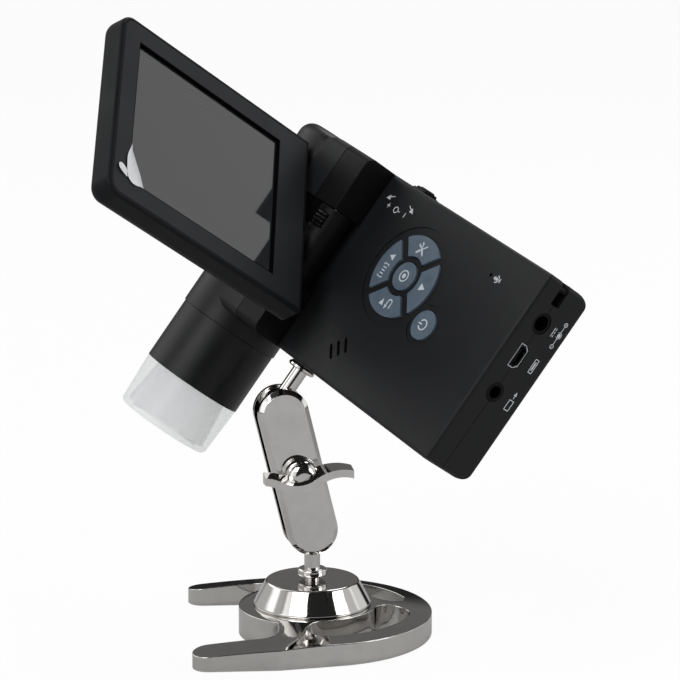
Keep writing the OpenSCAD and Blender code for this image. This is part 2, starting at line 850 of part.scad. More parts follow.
// ---------- lens tube ----------
module tube_housing() {
  color("#1d1e20")
    at_tube()
      difference() {
        translate([0, 0, -tube_len])
          rotate_extrude()
            rrect(0, tube_r, 0, tube_len, 0, join_round, tube_round, 0);
        translate([0, 0, -tube_len - 1]) cylinder(h = tube_len + 1 - top_skin, r = tube_in);
        // wire way into the flat head
        translate([tube_in - 3, 2, -head_h + 14]) cube([8, 9, head_h - 26]);
      }
}
module focus_sleeve() {
  color("#1b1c1e")
    at_tube()
      translate([0, 0, cap_z])
        difference() {
          union() {
            rotate_extrude() rrect(0, sleeve_r, 0, sleeve_l, 0, 0, join_round, 0);
            cylinder(h = sleeve_l + spigot_up, r = spigot_r);
          }
          translate([0, 0, -1]) cylinder(h = sleeve_l + spigot_up + 2, r = sleeve_in);
        }
}
module clear_cap() {
  color("#dfe4e6", 0.45)
    at_tube()
      translate([0, 0, cap_z])
        difference() {
          union() {
            translate([0, 0, -cap_l + 1]) cylinder(h = cap_l - 1 - seam / 2, r1 = cap_r, r2 = sleeve_r - 0.1);
            translate([0, 0, -cap_l]) cylinder(h = 1 + tiny, r1 = cap_r - 0.8, r2 = cap_r);
            translate([0, 0, -1]) cylinder(h = 1 + cap_lap, r = sleeve_in - run);
          }
          translate([0, 0, -cap_l + 1.8]) cylinder(h = cap_l, r1 = cap_r - cap_wall, r2 = cap_in);
          translate([0, 0, -1]) cylinder(h = cap_lap + 2, r = cap_in);
          translate([0, 0, -cap_l - 1]) cylinder(h = 4, r = cap_open);
        }
}
carrier_l = 18;
carrier_z = cap_z + 7;
carrier_body_r = 8;
lens_r = 5.6;
lens_bore_r = 4.6;
lens_seat = 2;
module lens_carrier() {
  color("#242527")
    at_tube()
      translate([0, 0, carrier_z])
        difference() {
          union() {
            cylinder(h = carrier_l, r = carrier_body_r);
            translate([0, 0, carrier_l - 5]) cylinder(h = 5, r = carrier_r);
          }
          translate([0, 0, -1]) cylinder(h = lens_seat + 1, r = lens_r);
          translate([0, 0, -1]) cylinder(h = carrier_l + 2, r = lens_bore_r);
          translate([0, 0, carrier_l - lens_seat]) cylinder(h = lens_seat + 1, r = lens_r);
        }
}
// short glass disc with one bulging face
module lens_solid() {
  r = lens_r - 0.02;
  t = 1.2;
  bulge = 0.7;
  ball = (r * r + bulge * bulge) / (2 * bulge);
  cylinder(h = t, r = r);
  intersection() {
    translate([0, 0, t - ball + bulge]) sphere(ball);
    cylinder(h = t + bulge, r = r);
  }
}
module front_lens() {
  color("#a9c4d6", 0.6)
    at_tube() translate([0, 0, carrier_z + lens_seat]) rotate([180, 0, 0]) lens_solid();
}
module rear_lens() {
  color("#a9c4d6", 0.6)
    at_tube() translate([0, 0, carrier_z + carrier_l - lens_seat]) lens_solid();
}
led_z = cap_z + cap_lap + 0.1;
led_board_t = 1.2;
led_r = 1.4;
led_h = 2.4;
led_ring_r = (carrier_body_r + sleeve_in) / 2;
module led_board() {
  color("#e7e8e4")
    at_tube() translate([0, 0, led_z]) ring(sleeve_in - snug, carrier_body_r + run, led_board_t);
}
module leds() {
  color("#f6f3d8")
    at_tube()
      for (i = [0 : led_count - 1])
        rotate(i * 360 / led_count) translate([led_ring_r, 0, led_z - led_h]) {
          cylinder(h = led_h, r = led_r);
          sphere(led_r);
        }
}
module sensor_board() {
  color("#1f5a3a")
    at_tube() translate([0, 0, -24]) cylinder(h = 1.4, r = tube_in - snug);
}
module image_sensor() {
  color("#303236")
    at_tube() translate([-5, -5, -26]) cube([10, 10, 2]);
}

// ---------- inside the flat head ----------
module main_board() {
  color("#1d5137")
    at_head()
      difference() {
        translate([board_x, board_y, -head_h + wall + board_in])
          cube([-board_x - wall - 0.3, board_t, head_h - 2 * wall - 2 * board_in]);
        // room for the wheel, the mounting thread, the strap bar and the screws
        translate([-dial_u - dial_w / 2 - 1, board_y - 1, -dial_v - dial_r - 1])
          cube([dial_w + 2, 4, 2 * dial_r]);
        translate([-mount_u, board_y - 2, -head_h]) cylinder(h = insert_l + 1, r = insert_r + 0.5);
        translate([-mount_u - insert_r - 0.5, board_y - 1, -head_h])
          cube([2 * insert_r + 1, 4, insert_l + 1]);
        translate([-strap_u - 4.5, board_y - 1, -strap_drop - 2]) cube([11, 4, strap_drop + 3]);
        translate([-card_u - card_t / 2, board_y - 1, -head_h]) cube([card_t + 0.4, 4, card_d + 0.8]);
        screw_places() translate([0, -12, 0]) ycyl(2, 14);
      }
}
module key_board() {
  color("#20573c")
    at_head()
      translate([key_board_x0, key_board_y, key_board_z0]) {
        cube([key_board_l, key_board_t, key_board_h]);
        for (x = [key_post_in, key_board_l - key_post_in])
          for (z = [key_post_in, key_board_h - key_post_in])
            translate([x, front_skin - key_board_y, z]) ycyl(1.2, key_board_y - front_skin + 0.1);
      }
}
module battery() {
  color("#4a5c86")
    at_head()
      translate([cover_x + 2.5, head_t - cover_t - battery_t, cover_z + 2.5])
        cube([cover_l - 5, battery_t, cover_h - 5]);
}
module battery_cover() {
  color("#1c1d1f")
    at_head()
      difference() {
        translate([cover_x, head_t - cover_t, cover_z]) cube([cover_l, cover_t, cover_h]);
        // thumb grip
        for (i = [0 : 4])
          translate([cover_x + 4 + i * 1.8, head_t - 0.5, cover_z + cover_h / 2 - 7]) cube([0.9, 1, 14]);
      }
}
module thread_insert() {
  color("#b89a56")
    at_head()
      translate([-mount_u, mount_w, -head_h])
        difference() {
          cylinder(h = insert_l, r = insert_r);
          translate([0, 0, -1]) cylinder(h = thread_in + 1.6, r = thread_r + run);
        }
}
module speaker() {
  color("#3a3b3d")
    at_head() translate([-spk_u, front_skin, -spk_v]) ycyl(spk_r, 3.4);
}
module microphone() {
  color("#8a8c8e")
    at_head() translate([-mic_u, front_skin, -mic_v])
      difference() {
        ycyl(2.2, 1.8);
        translate([0, -1, 0]) ycyl(0.6, 1.4);
      }
}

// ---------- keys ----------
flange_grow = 0.5;
flange_y = 0.5;
// cap of a key: its outline through the front skin
module key_body() {
  translate([0, deck - key_rise, 0]) rotate([-90, 0, 0])
    linear_extrude(height = front_skin - deck + key_rise + 0.1) children();
}
// wider flange behind the skin that keeps a key from falling out
module key_flange() {
  translate([0, front_skin + 0.05, 0]) rotate([-90, 0, 0]) linear_extrude(height = flange_y) children();
}
module key_stem() {
  translate([0, front_skin, 0]) ycyl(1.4, key_board_y - front_skin - key_travel - 0.15);
}
module ring_key(a, c) {
  color(c)
    at_head() translate([-pad_u, 0, -pad_v]) {
      key_body() rotate(a) key2d(0);
      key_flange() rotate(a) key2d(flange_grow);
      rotate([0, -a, 0]) translate([(key_in + key_out) / 2, 0, 0]) key_stem();
    }
}
module right_key() {
  ring_key(0, "#5f6e7b");
}
module up_key() {
  color("#5f6e7b")
    at_head() translate([-pad_u, 0, -pad_v]) {
      key_body() rotate(-90) key2d(0);
      key_flange() rotate(-90) key2d(flange_grow);
      translate([0, 0, (key_in + key_out) / 2]) key_stem();
    }
}
module down_key() {
  color("#5f6e7b")
    at_head() translate([-pad_u, 0, -pad_v]) {
      key_body() rotate(90) key2d(0);
      key_flange() rotate(90) key2d(flange_grow);
      translate([0, 0, -(key_in + key_out) / 2]) key_stem();
    }
}
module left_key() {
  ring_key(180, "#5f6e7b");
}
module ok_key() {
  color("#5f6e7b")
    at_head() translate([-pad_u, 0, -pad_v]) {
      key_body() circle(ok_r);
      key_flange() circle(ok_r + flange_grow);
      key_stem();
    }
}
module power_key() {
  color("#5f6e7b")
    at_head() translate([-power_u, 0, -power_v]) {
      key_body() circle(power_r);
      key_flange() circle(power_r + flange_grow);
      key_stem();
    }
}

// ---------- ports ----------
// square body of a round socket, from the port wall inwards and down to the board
module jack_box(size) {
  translate([-jack_d, -size / 2, -size / 2])
    cube([jack_d - wall - 0.1, size / 2 + board_y - port_w, size]);
}
module dc_jack() {
  color("#2b2c2e")
    at_head()
      translate([0, port_w, -dc_v])
        difference() {
          union() {
            jack_box(dc_block);
            translate([-jack_d, 0, 0]) xcyl(dc_r + dc_wall, jack_d - 0.2);
          }
          translate([-jack_d + 2, 0, 0]) xcyl(dc_r, jack_d);
        }
}
module av_jack() {
  color("#2b2c2e")
    at_head()
      translate([0, port_w, -av_v])
        difference() {
          union() {
            jack_box(av_block);
            translate([-jack_d, 0, 0]) xcyl(av_r + av_wall, jack_d + 0.1);
          }
          translate([-jack_d + 2, 0, 0]) xcyl(av_r, jack_d);
        }
}
module usb_profile(d) {
  // five-sided socket outline: wide on one side, narrowed on the other
  hh = usb_h / 2 - d;
  ww = usb_w / 2 - d;
  polygon([[-ww, -hh], [ww * 0.15, -hh], [ww, -hh + 1.2], [ww, hh - 1.2], [ww * 0.15, hh], [-ww, hh]]);
}
module usb_shell() {
  color("#c9cbcc")
    at_head()
      translate([-0.25, port_w, -usb_v])
        rotate([0, -90, 0]) rotate([0, 0, 90])
          difference() {
            linear_extrude(height = usb_d) usb_profile(0);
            translate([0, 0, -1]) linear_extrude(height = usb_d) usb_profile(usb_wall);
          }
  color("#c9cbcc")
    at_head()
      for (z = [-1.6, 0.8])
        translate([-5.4, port_w + usb_w / 2 - 0.2, -usb_v + z])
          cube([1.4, board_y - port_w - usb_w / 2 + 0.2, 0.8]);
}
module usb_tongue() {
  color("#191a1b")
    at_head()
      translate([-usb_d + 0.75, port_w - 0.6, -usb_v - usb_h * 0.3]) cube([usb_d - 2, 1.1, usb_h * 0.6]);
}
module card_socket() {
  color("#b8babc")
    at_head()
      translate([-card_u - card_t / 2, port_w - card_w / 2, -head_h + 0.3])
        difference() {
          cube([card_t, card_w, card_d]);
          translate([0.35, 0.5, -1]) cube([card_t - 0.7, card_w - 1, card_d]);
        }
}
module bright_wheel() {
  color("#2a2b2d")
    at_head()
      translate([-dial_u - dial_w / 2, dial_w0, -dial_v])
        difference() {
          xcyl(dial_r, dial_w);
          for (i = [0 : 23])
            rotate([i * 15, 0, 0]) translate([-1, dial_r + 0.12, 0]) xcyl(0.5, dial_w + 2, $fn = 24);
          translate([-1, 0, 0]) xcyl(1 + run, dial_w + 2);
        }
}
module wheel_mount() {
  color("#6d7074")
    at_head()
      translate([-dial_u - dial_w / 2, dial_w0, -dial_v]) {
        translate([-4.4, -3.4, -2.5]) cube([3.9, 3.4 + board_y - dial_w0, 5]);
        translate([-1, 0, 0]) xcyl(1, dial_w + 0.6);
      }
}
module strap_bar() {
  color("#1f2022") at_head() strap_rod(strap_seat, strap_r);
}

// ---------- screen ----------
module screen_form(d) {
  x0 = hinge_gap + d;
  x1 = hinge_gap + screen_l - d;
  z1 = screen_h / 2 - d;
  hb = max(hinge_back_round - d, 0.4);
  bk = max(screen_back_round - d, 0.5);
  fr = max(rim_round - d, 0.2);
  difference() {
    intersection() {
      translate([0, 0, -z1])
        linear_extrude(height = 2 * z1) rrect(x0, x1, -half_t + d, half_t - d, hb, bk, fr, fr);
      rotate([90, 0, 90])
        translate([0, 0, x0])
          linear_extrude(height = x1 - x0) rrect(-half_t + d, half_t - d, -z1, z1, bk, fr, fr, bk);
      screen_prism(d, -half_t + d, half_t - d);
    }
    free_corner(x1, z1, max(free_round - d, bk + 0.1), d, bk, fr);
    mirror([0, 0, 1]) free_corner(x1, z1, max(free_round - d, bk + 0.1), d, bk, fr);
  }
}
// what a free corner loses where the roundings of its three edges meet
module free_corner(x1, z1, r, d, bk, fr) {
  translate([x1 - r, 0, z1 - r])
    difference() {
      translate([0, -half_t, 0]) cube([r + 1, screen_t, r + 1]);
      rotate([-90, 0, 0]) rotate_extrude() rrect(0, r, -half_t + d, half_t - d, 0, bk, fr, 0);
    }
}
// outline of the screen unit drawn in by d, between two depths
module screen_prism(d, y0, y1) {
  z1 = screen_h / 2 - d;
  ro = max(free_round - d, 0.5);
  ri = max(hinge_round - d, 0.5);
  rotate([90, 0, 0])
    translate([0, 0, -y1])
      linear_extrude(height = y1 - y0)
        rrect(hinge_gap + d, hinge_gap + screen_l - d, -z1, z1, ri, ro, ro, ri);
}
// front plate that is let into the case
module screen_bezel() {
  color("#2a2b2d")
    at_screen()
      difference() {
        screen_prism(plate_in + seam, half_t - bezel_d + seam / 2, half_t);
        translate([open_x0, 0, -open_z]) cube([open_x1 - open_x0, screen_t, 2 * open_z]);
        // room behind the rim for the glass and the panel
        translate([open_x0 - 1.5, 0, -open_z - 1.5])
          cube([open_x1 - open_x0 + 3, half_t - glass_sink, 2 * open_z + 3]);
        shaft_room();
      }
}
// room for the swivel shaft and its head inside the screen unit
module shaft_room() {
  translate([hinge_gap - 1, 0, 0]) xcyl(shaft_r + run, 11);
  translate([hinge_gap + 3, 0, 0]) xcyl(shaft_head + run, 3 + 2 * run);
}
module screen_back() {
  color("#1f2022")
    at_screen()
      difference() {
        screen_form(0);
        screen_prism(plate_in, half_t - bezel_d - seam / 2, screen_t);
        intersection() {
          screen_form(screen_wall);
          translate([hinge_gap + 10, -screen_t, -screen_h]) cube([2 * screen_l, 2 * screen_t, 2 * screen_h]);
        }
        shaft_room();
        translate([hinge_gap + 3, 0, -shaft_head - run]) cube([3 + 2 * run, half_t, 2 * (shaft_head + run)]);
        translate([hinge_gap + 1, 0, -shaft_r - run]) cube([9, half_t, 2 * (shaft_r + run)]);
      }
}
module screen_glass() {
  color("#4b4c51")
    at_screen()
      translate([open_x0 - 1.3, half_t - glass_sink - glass_t, -open_z - 1.3])
        cube([open_x1 - open_x0 + 2.6, glass_t, 2 * open_z + 2.6]);
}
module display_panel() {
  color("#33343a")
    at_screen()
      translate([open_x0 - 1.3, half_t - glass_sink - glass_t - panel_t, -open_z - 1.3])
        cube([open_x1 - open_x0 + 2.6, panel_t, 2 * open_z + 2.6]);
}
module screen_film() {
  color("#c9ced2", 0.25)
    at_screen()
      translate([open_x0 + 0.8, half_t - glass_sink, -open_z + 0.8])
        cube([open_x1 - open_x0 - 1.6, 0.12, 2 * open_z - 1.6]);
}
// barrel on the hinge axis with the neck that carries the screen
module hinge_barrel() {
  color("#191a1c")
    at_flip()
      difference() {
        union() {
          cylinder(h = barrel_len, r = barrel_r, center = true);
          translate([0, -swivel_off, 0]) xcyl(neck_barrel, hinge_gap - neck_room);
        }
        cylinder(h = barrel_len + 2, r = pin_r + run, center = true);
        translate([shaft_from - 0.1, -swivel_off, 0]) xcyl(shaft_r + run, hinge_gap);
        // window that shows the ribs
        translate([barrel_r - rib_deep, -rib_w / 2 - 0.9, neck_barrel + 1])
          cube([rib_deep + 1, rib_w + 1.8, window_h]);
      }
}
module hinge_ribs() {
  color("#9a9c9e")
    at_flip()
      for (i = [0 : rib_count - 1])
        translate([barrel_r - rib_deep, -rib_w / 2, neck_barrel + 1 + (i + 0.4) * window_h / rib_count])
          cube([rib_deep - 0.6, rib_w, 0.45 * window_h / rib_count]);
}
module swivel_shaft() {
  color("#c2c3c4")
    at_flip() translate([0, -swivel_off, 0]) {
      translate([shaft_from, 0, 0]) xcyl(shaft_r, hinge_gap + 5.5);
      translate([hinge_gap + 3 + run, 0, 0]) xcyl(shaft_head, 3);
    }
}

base_plate();
foot_pad();
turret();
post_nut();
lower_ball_stud();
front_plate();
rear_plate();
clamp_bolt();
bolt_washer();
wing_nut();
upper_ball_stud();
front_shell();
back_shell();
upper_hinge_base();
lower_hinge_base();
upper_hinge_cap();
lower_hinge_cap();
hinge_pins();
tube_housing();
focus_sleeve();
lens_carrier();
front_lens();
rear_lens();
led_board();
leds();
clear_cap();
sensor_board();
image_sensor();
main_board();
key_board();
battery();
battery_cover();
case_screws();
thread_insert();
speaker();
microphone();
ok_key();
up_key();
right_key();
down_key();
left_key();
power_key();
dc_jack();
usb_shell();
usb_tongue();
av_jack();
card_socket();
bright_wheel();
wheel_mount();
strap_bar();
hinge_barrel();
hinge_ribs();
swivel_shaft();
screen_bezel();
screen_back();
display_panel();
screen_glass();
screen_film();
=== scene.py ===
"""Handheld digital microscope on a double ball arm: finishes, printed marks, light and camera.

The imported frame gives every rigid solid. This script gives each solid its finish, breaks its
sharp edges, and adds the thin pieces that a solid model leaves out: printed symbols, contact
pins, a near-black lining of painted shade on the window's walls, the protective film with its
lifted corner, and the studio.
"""
import json
import logging
import math
from dataclasses import dataclass, field
from enum import Enum
from typing import Any, Callable, Sequence

import bmesh
import bpy
from mathutils import Matrix, Vector


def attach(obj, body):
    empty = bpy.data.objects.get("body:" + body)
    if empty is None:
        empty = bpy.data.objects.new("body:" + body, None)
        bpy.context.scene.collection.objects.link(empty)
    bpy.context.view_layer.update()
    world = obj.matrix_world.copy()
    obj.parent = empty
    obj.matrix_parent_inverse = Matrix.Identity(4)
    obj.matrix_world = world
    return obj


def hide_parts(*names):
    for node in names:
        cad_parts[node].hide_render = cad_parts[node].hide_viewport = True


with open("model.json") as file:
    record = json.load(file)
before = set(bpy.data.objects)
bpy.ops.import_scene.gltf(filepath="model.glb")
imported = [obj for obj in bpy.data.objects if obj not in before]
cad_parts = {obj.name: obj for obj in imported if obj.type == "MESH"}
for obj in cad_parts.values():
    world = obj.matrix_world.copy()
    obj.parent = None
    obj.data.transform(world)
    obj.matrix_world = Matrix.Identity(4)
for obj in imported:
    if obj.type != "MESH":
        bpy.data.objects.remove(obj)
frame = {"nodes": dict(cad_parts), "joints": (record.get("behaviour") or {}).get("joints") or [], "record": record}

LOG = logging.getLogger("microscope")
MM = 0.001
Point2 = tuple[float, float]
# two ends of a row of film, each as distance from the free end, distance from the lower side
# and height over the glass, in millimetres
Row = tuple[tuple[float, float, float], tuple[float, float, float]]
WELD_MM = 0.002
FLAT_ANGLE = math.radians(0.2)
SHADE_WEIGHT = 80


# ---------------------------------------------------------------- colour and nodes

def srgb(code: str) -> tuple[float, float, float, float]:
    """Turn an sRGB hex colour into linear RGBA.

    Args:
        code: colour such as "#26272b".

    Returns:
        Linear red, green, blue and an alpha of 1.
    """
    parts = [int(code[i:i + 2], 16) / 255 for i in (1, 3, 5)]
    linear = [c / 12.92 if c <= 0.04045 else ((c + 0.055) / 1.055) ** 2.4 for c in parts]
    return (*linear, 1.0)


def add_node(tree: bpy.types.NodeTree, kind: str, settings: dict[str, Any] | None = None,
             inputs: dict[Any, Any] | None = None) -> bpy.types.Node:
    """Add a node, set its properties, and fill or link its inputs.

    Args:
        tree: the node tree to add to.
        kind: Blender's node type name.
        settings: properties of the node.
        inputs: values or output sockets for the node's inputs, by name or index.

    Returns:
        The new node.
    """
    node = tree.nodes.new(kind)
    for name, value in (settings or {}).items():
        setattr(node, name, value)
    for name, value in (inputs or {}).items():
        if isinstance(value, bpy.types.NodeSocket):
            tree.links.new(value, node.inputs[name])
        else:
            node.inputs[name].default_value = value
    return node


# ---------------------------------------------------------------- finishes

@dataclass(frozen=True)
class Finish:
    """A surface finish that builds one material with a Principled shader."""

    name: str
    colour: str
    roughness: float
    metallic: float = 0.0
    ior: float = 1.5
    specular: float = 0.5

    def material(self) -> bpy.types.Material:
        """Return this finish's material, built on first use."""
        found = bpy.data.materials.get(self.name)
        if found:
            return found
        made = bpy.data.materials.new(self.name)
        made.use_nodes = True
        tree = made.node_tree
        shader = tree.nodes["Principled BSDF"]
        shader.inputs["Base Color"].default_value = srgb(self.colour)
        shader.inputs["Roughness"].default_value = self.roughness
        shader.inputs["Metallic"].default_value = self.metallic
        shader.inputs["IOR"].default_value = self.ior
        shader.inputs["Specular IOR Level"].default_value = self.specular
        made.diffuse_color = srgb(self.colour)
        place = add_node(tree, "ShaderNodeTexCoord").outputs["Object"]
        self.detail(tree, shader, place)
        return made

    def detail(self, tree: bpy.types.NodeTree, shader: bpy.types.Node,
               place: bpy.types.NodeSocket) -> None:
        """Add this finish's surface detail. The plain finish adds none."""

    def noise(self, tree: bpy.types.NodeTree, place: bpy.types.NodeSocket, size_mm: float,
              depth: float = 2.0, stretch: Sequence[float] = (1, 1, 1)) -> bpy.types.NodeSocket:
        """Add a noise whose blobs have a real size.

        Args:
            tree: the material's nodes.
            place: coordinates in metres.
            size_mm: size of one blob in millimetres.
            depth: octaves of finer detail.
            stretch: factor on each axis, below 1 to draw the blobs out along it.

        Returns:
            The noise value, about 0.5 on average.
        """
        scaled = add_node(tree, "ShaderNodeMapping", inputs={0: place, "Scale": tuple(stretch)})
        made = add_node(tree, "ShaderNodeTexNoise", inputs={
            "Vector": scaled.outputs[0], "Scale": 1 / (size_mm * MM), "Detail": depth})
        return made.outputs["Fac"]

    def spread(self, tree: bpy.types.NodeTree, value: bpy.types.NodeSocket, low: float,
               high: float) -> bpy.types.NodeSocket:
        """Map a noise value from 0.3..0.7 to low..high and return the result."""
        made = add_node(tree, "ShaderNodeMapRange", {"clamp": True}, {
            "Value": value, "From Min": 0.3, "From Max": 0.7, "To Min": low, "To Max": high})
        return made.outputs["Result"]

    def bump(self, tree: bpy.types.NodeTree, shader: bpy.types.Node, height: bpy.types.NodeSocket,
             height_mm: float, strength: float = 1.0) -> None:
        """Press a height pattern into the surface.

        Args:
            tree: the material's nodes.
            shader: the shader that takes the normal.
            height: pattern from 0 to 1.
            height_mm: real height of the pattern in millimetres.
            strength: share of the bump that shows.
        """
        made = add_node(tree, "ShaderNodeBump", inputs={
            "Height": height, "Distance": height_mm * MM, "Strength": strength})
        tree.links.new(made.outputs["Normal"], shader.inputs["Normal"])

    def tint(self, tree: bpy.types.NodeTree, shader: bpy.types.Node,
             share: bpy.types.NodeSocket, other: str) -> None:
        """Blend the base colour towards another one by a pattern.

        Args:
            tree: the material's nodes.
            shader: the shader that takes the colour.
            share: pattern from 0 to 1.
            other: sRGB hex of the second colour.
        """
        made = add_node(tree, "ShaderNodeMix", {"data_type": "RGBA"}, {
            "Factor": share, 6: srgb(self.colour), 7: srgb(other)})
        tree.links.new(made.outputs[2], shader.inputs["Base Color"])


@dataclass(frozen=True)
class MouldedAbs(Finish):
    """ABS moulded in a spark-eroded mould: a fine even grain that keeps its shine low and broad."""

    grain_mm: float = 0.28
    grain_high_mm: float = 0.012
    rubbed: str = "#2c2d31"

    def detail(self, tree: bpy.types.NodeTree, shader: bpy.types.Node,
               place: bpy.types.NodeSocket) -> None:
        """Add the mould grain, handling marks and slightly rubbed patches."""
        # real spark grain is about 0.05 mm; it is drawn coarser so that it shows at all
        grain = self.noise(tree, place, self.grain_mm, 3.0)
        patches = self.noise(tree, place, 16.0, 4.0)
        self.tint(tree, shader, self.spread(tree, patches, 0.0, 0.45), self.rubbed)
        rough = self.spread(tree, patches, self.roughness - 0.05, self.roughness + 0.06)
        tree.links.new(rough, shader.inputs["Roughness"])
        self.bump(tree, shader, grain, self.grain_high_mm, 0.75)


@dataclass(frozen=True)
class NickelPlate(Finish):
    """Bright nickel plate over polished zinc casting: mirror reflections that wander slightly."""

    wave_mm: float = 14.0
    wave_high_mm: float = 0.012

    def detail(self, tree: bpy.types.NodeTree, shader: bpy.types.Node,
               place: bpy.types.NodeSocket) -> None:
        """Add the polisher's waves, hairline scratches and a faint haze."""
        waves = self.noise(tree, place, self.wave_mm, 1.0)
        hairs = self.noise(tree, place, 0.5, 2.0, (1.0, 0.07, 1.0))
        haze = self.noise(tree, place, 5.0, 3.0)
        tree.links.new(self.spread(tree, haze, self.roughness * 0.7, self.roughness * 1.6),
                       shader.inputs["Roughness"])
        self.tint(tree, shader, self.spread(tree, haze, 0.0, 0.35), "#c6c3bf")
        wave = add_node(tree, "ShaderNodeBump", inputs={
            "Height": waves, "Distance": self.wave_high_mm * MM, "Strength": 0.8})
        hair = add_node(tree, "ShaderNodeBump", inputs={
            "Height": hairs, "Distance": 0.0008 * MM, "Strength": 0.5,
            "Normal": wave.outputs["Normal"]})
        tree.links.new(hair.outputs["Normal"], shader.inputs["Normal"])


@dataclass(frozen=True)
class TurnedMetal(Finish):
    """Plain metal turned or stamped: fine tool marks and a soft shine."""

    mark_mm: float = 0.35

    def detail(self, tree: bpy.types.NodeTree, shader: bpy.types.Node,
               place: bpy.types.NodeSocket) -> None:
        """Add tool marks and uneven shine."""
        marks = self.noise(tree, place, self.mark_mm, 2.0, (1.0, 1.0, 0.12))
        dull = self.noise(tree, place, 3.0, 3.0)
        tree.links.new(self.spread(tree, dull, self.roughness * 0.7, self.roughness * 1.4),
                       shader.inputs["Roughness"])
        self.bump(tree, shader, marks, 0.004, 0.6)


@dataclass(frozen=True)
class ClearPlastic(Finish):
    """Injection moulded acrylic, clear right through, with soft flow lines from the mould."""

    density: float = 1.0

    def detail(self, tree: bpy.types.NodeTree, shader: bpy.types.Node,
               place: bpy.types.NodeSocket) -> None:
        """Make the shader clear and add the flow lines."""
        shader.inputs["Transmission Weight"].default_value = self.density
        flow = self.noise(tree, place, 6.0, 1.0, (1.0, 1.0, 0.4))
        tree.links.new(self.spread(tree, flow, self.roughness * 0.5, self.roughness * 2.0),
                       shader.inputs["Roughness"])
        self.bump(tree, shader, flow, 0.006, 0.5)


@dataclass(frozen=True)
class CoverGlass(Finish):
    """Flat glass over a dark display: sharp reflections and faint smears."""

    smear: float = 0.05

    def detail(self, tree: bpy.types.NodeTree, shader: bpy.types.Node,
               place: bpy.types.NodeSocket) -> None:
        """Add finger smears."""
        smears = self.noise(tree, place, 12.0, 4.0, (1.0, 0.5, 1.0))
        tree.links.new(self.spread(tree, smears, self.roughness, self.roughness + self.smear),
                       shader.inputs["Roughness"])
        self.tint(tree, shader, self.spread(tree, smears, 0.0, 0.35), "#0f1013")


@dataclass(frozen=True)
class ThinFilm(Finish):
    """A peel-off polyethylene film: nearly clear, a little hazy, with shallow ripples."""

    alpha: float = 0.3

    def detail(self, tree: bpy.types.NodeTree, shader: bpy.types.Node,
               place: bpy.types.NodeSocket) -> None:
        """Let most light through and ripple the sheet."""
        shader.inputs["Alpha"].default_value = self.alpha
        ripple = self.noise(tree, place, 18.0, 2.0)
        self.bump(tree, shader, ripple, 0.02, 0.6)
        tree.links.new(self.spread(tree, ripple, self.roughness, self.roughness * 1.6),
                       shader.inputs["Roughness"])


@dataclass(frozen=True)
class KeyPlastic(Finish):
    """Silicone-backed keycap plastic: satin, slightly milky, with fine grain."""

    def detail(self, tree: bpy.types.NodeTree, shader: bpy.types.Node,
               place: bpy.types.NodeSocket) -> None:
        """Add the milky depth, the grain and the rubbed tops."""
        shader.inputs["Subsurface Weight"].default_value = 0.12
        shader.inputs["Subsurface Radius"].default_value = (0.0012, 0.0014, 0.0016)
        shader.inputs["Subsurface Scale"].default_value = 0.6
        cloud = self.noise(tree, place, 2.6, 3.0)
        self.tint(tree, shader, self.spread(tree, cloud, 0.0, 0.4), "#6c7c8a")
        tree.links.new(self.spread(tree, cloud, self.roughness - 0.06, self.roughness + 0.08),
                       shader.inputs["Roughness"])
        self.bump(tree, shader, self.noise(tree, place, 0.22), 0.004, 0.5)


@dataclass(frozen=True)
class PrintedInk(Finish):
    """Pad-printed ink: flat and slightly uneven, with tiny pinholes in its cover."""

    def detail(self, tree: bpy.types.NodeTree, shader: bpy.types.Node,
               place: bpy.types.NodeSocket) -> None:
        """Add the uneven cover of the ink."""
        cover = self.noise(tree, place, 0.5, 3.0)
        self.tint(tree, shader, self.spread(tree, cover, 0.0, 0.5), "#b4b8bb")
        tree.links.new(self.spread(tree, cover, self.roughness - 0.1, self.roughness + 0.1),
                       shader.inputs["Roughness"])
        self.bump(tree, shader, cover, 0.003, 0.5)


@dataclass(frozen=True)
class BoardMask(Finish):
    """Solder mask over copper: glossy, with the tracks standing a little under it."""

    def detail(self, tree: bpy.types.NodeTree, shader: bpy.types.Node,
               place: bpy.types.NodeSocket) -> None:
        """Add square track patches under the mask."""
        tracks = add_node(tree, "ShaderNodeTexVoronoi", {"distance": "CHEBYCHEV"}, {
            "Vector": place, "Scale": 1 / (2.4 * MM)}).outputs["Distance"]
        self.tint(tree, shader, self.spread(tree, tracks, 0.0, 0.8), "#3b7a55")
        self.bump(tree, shader, tracks, 0.02, 0.4)
        tree.links.new(self.spread(tree, tracks, self.roughness, self.roughness + 0.15),
                       shader.inputs["Roughness"])


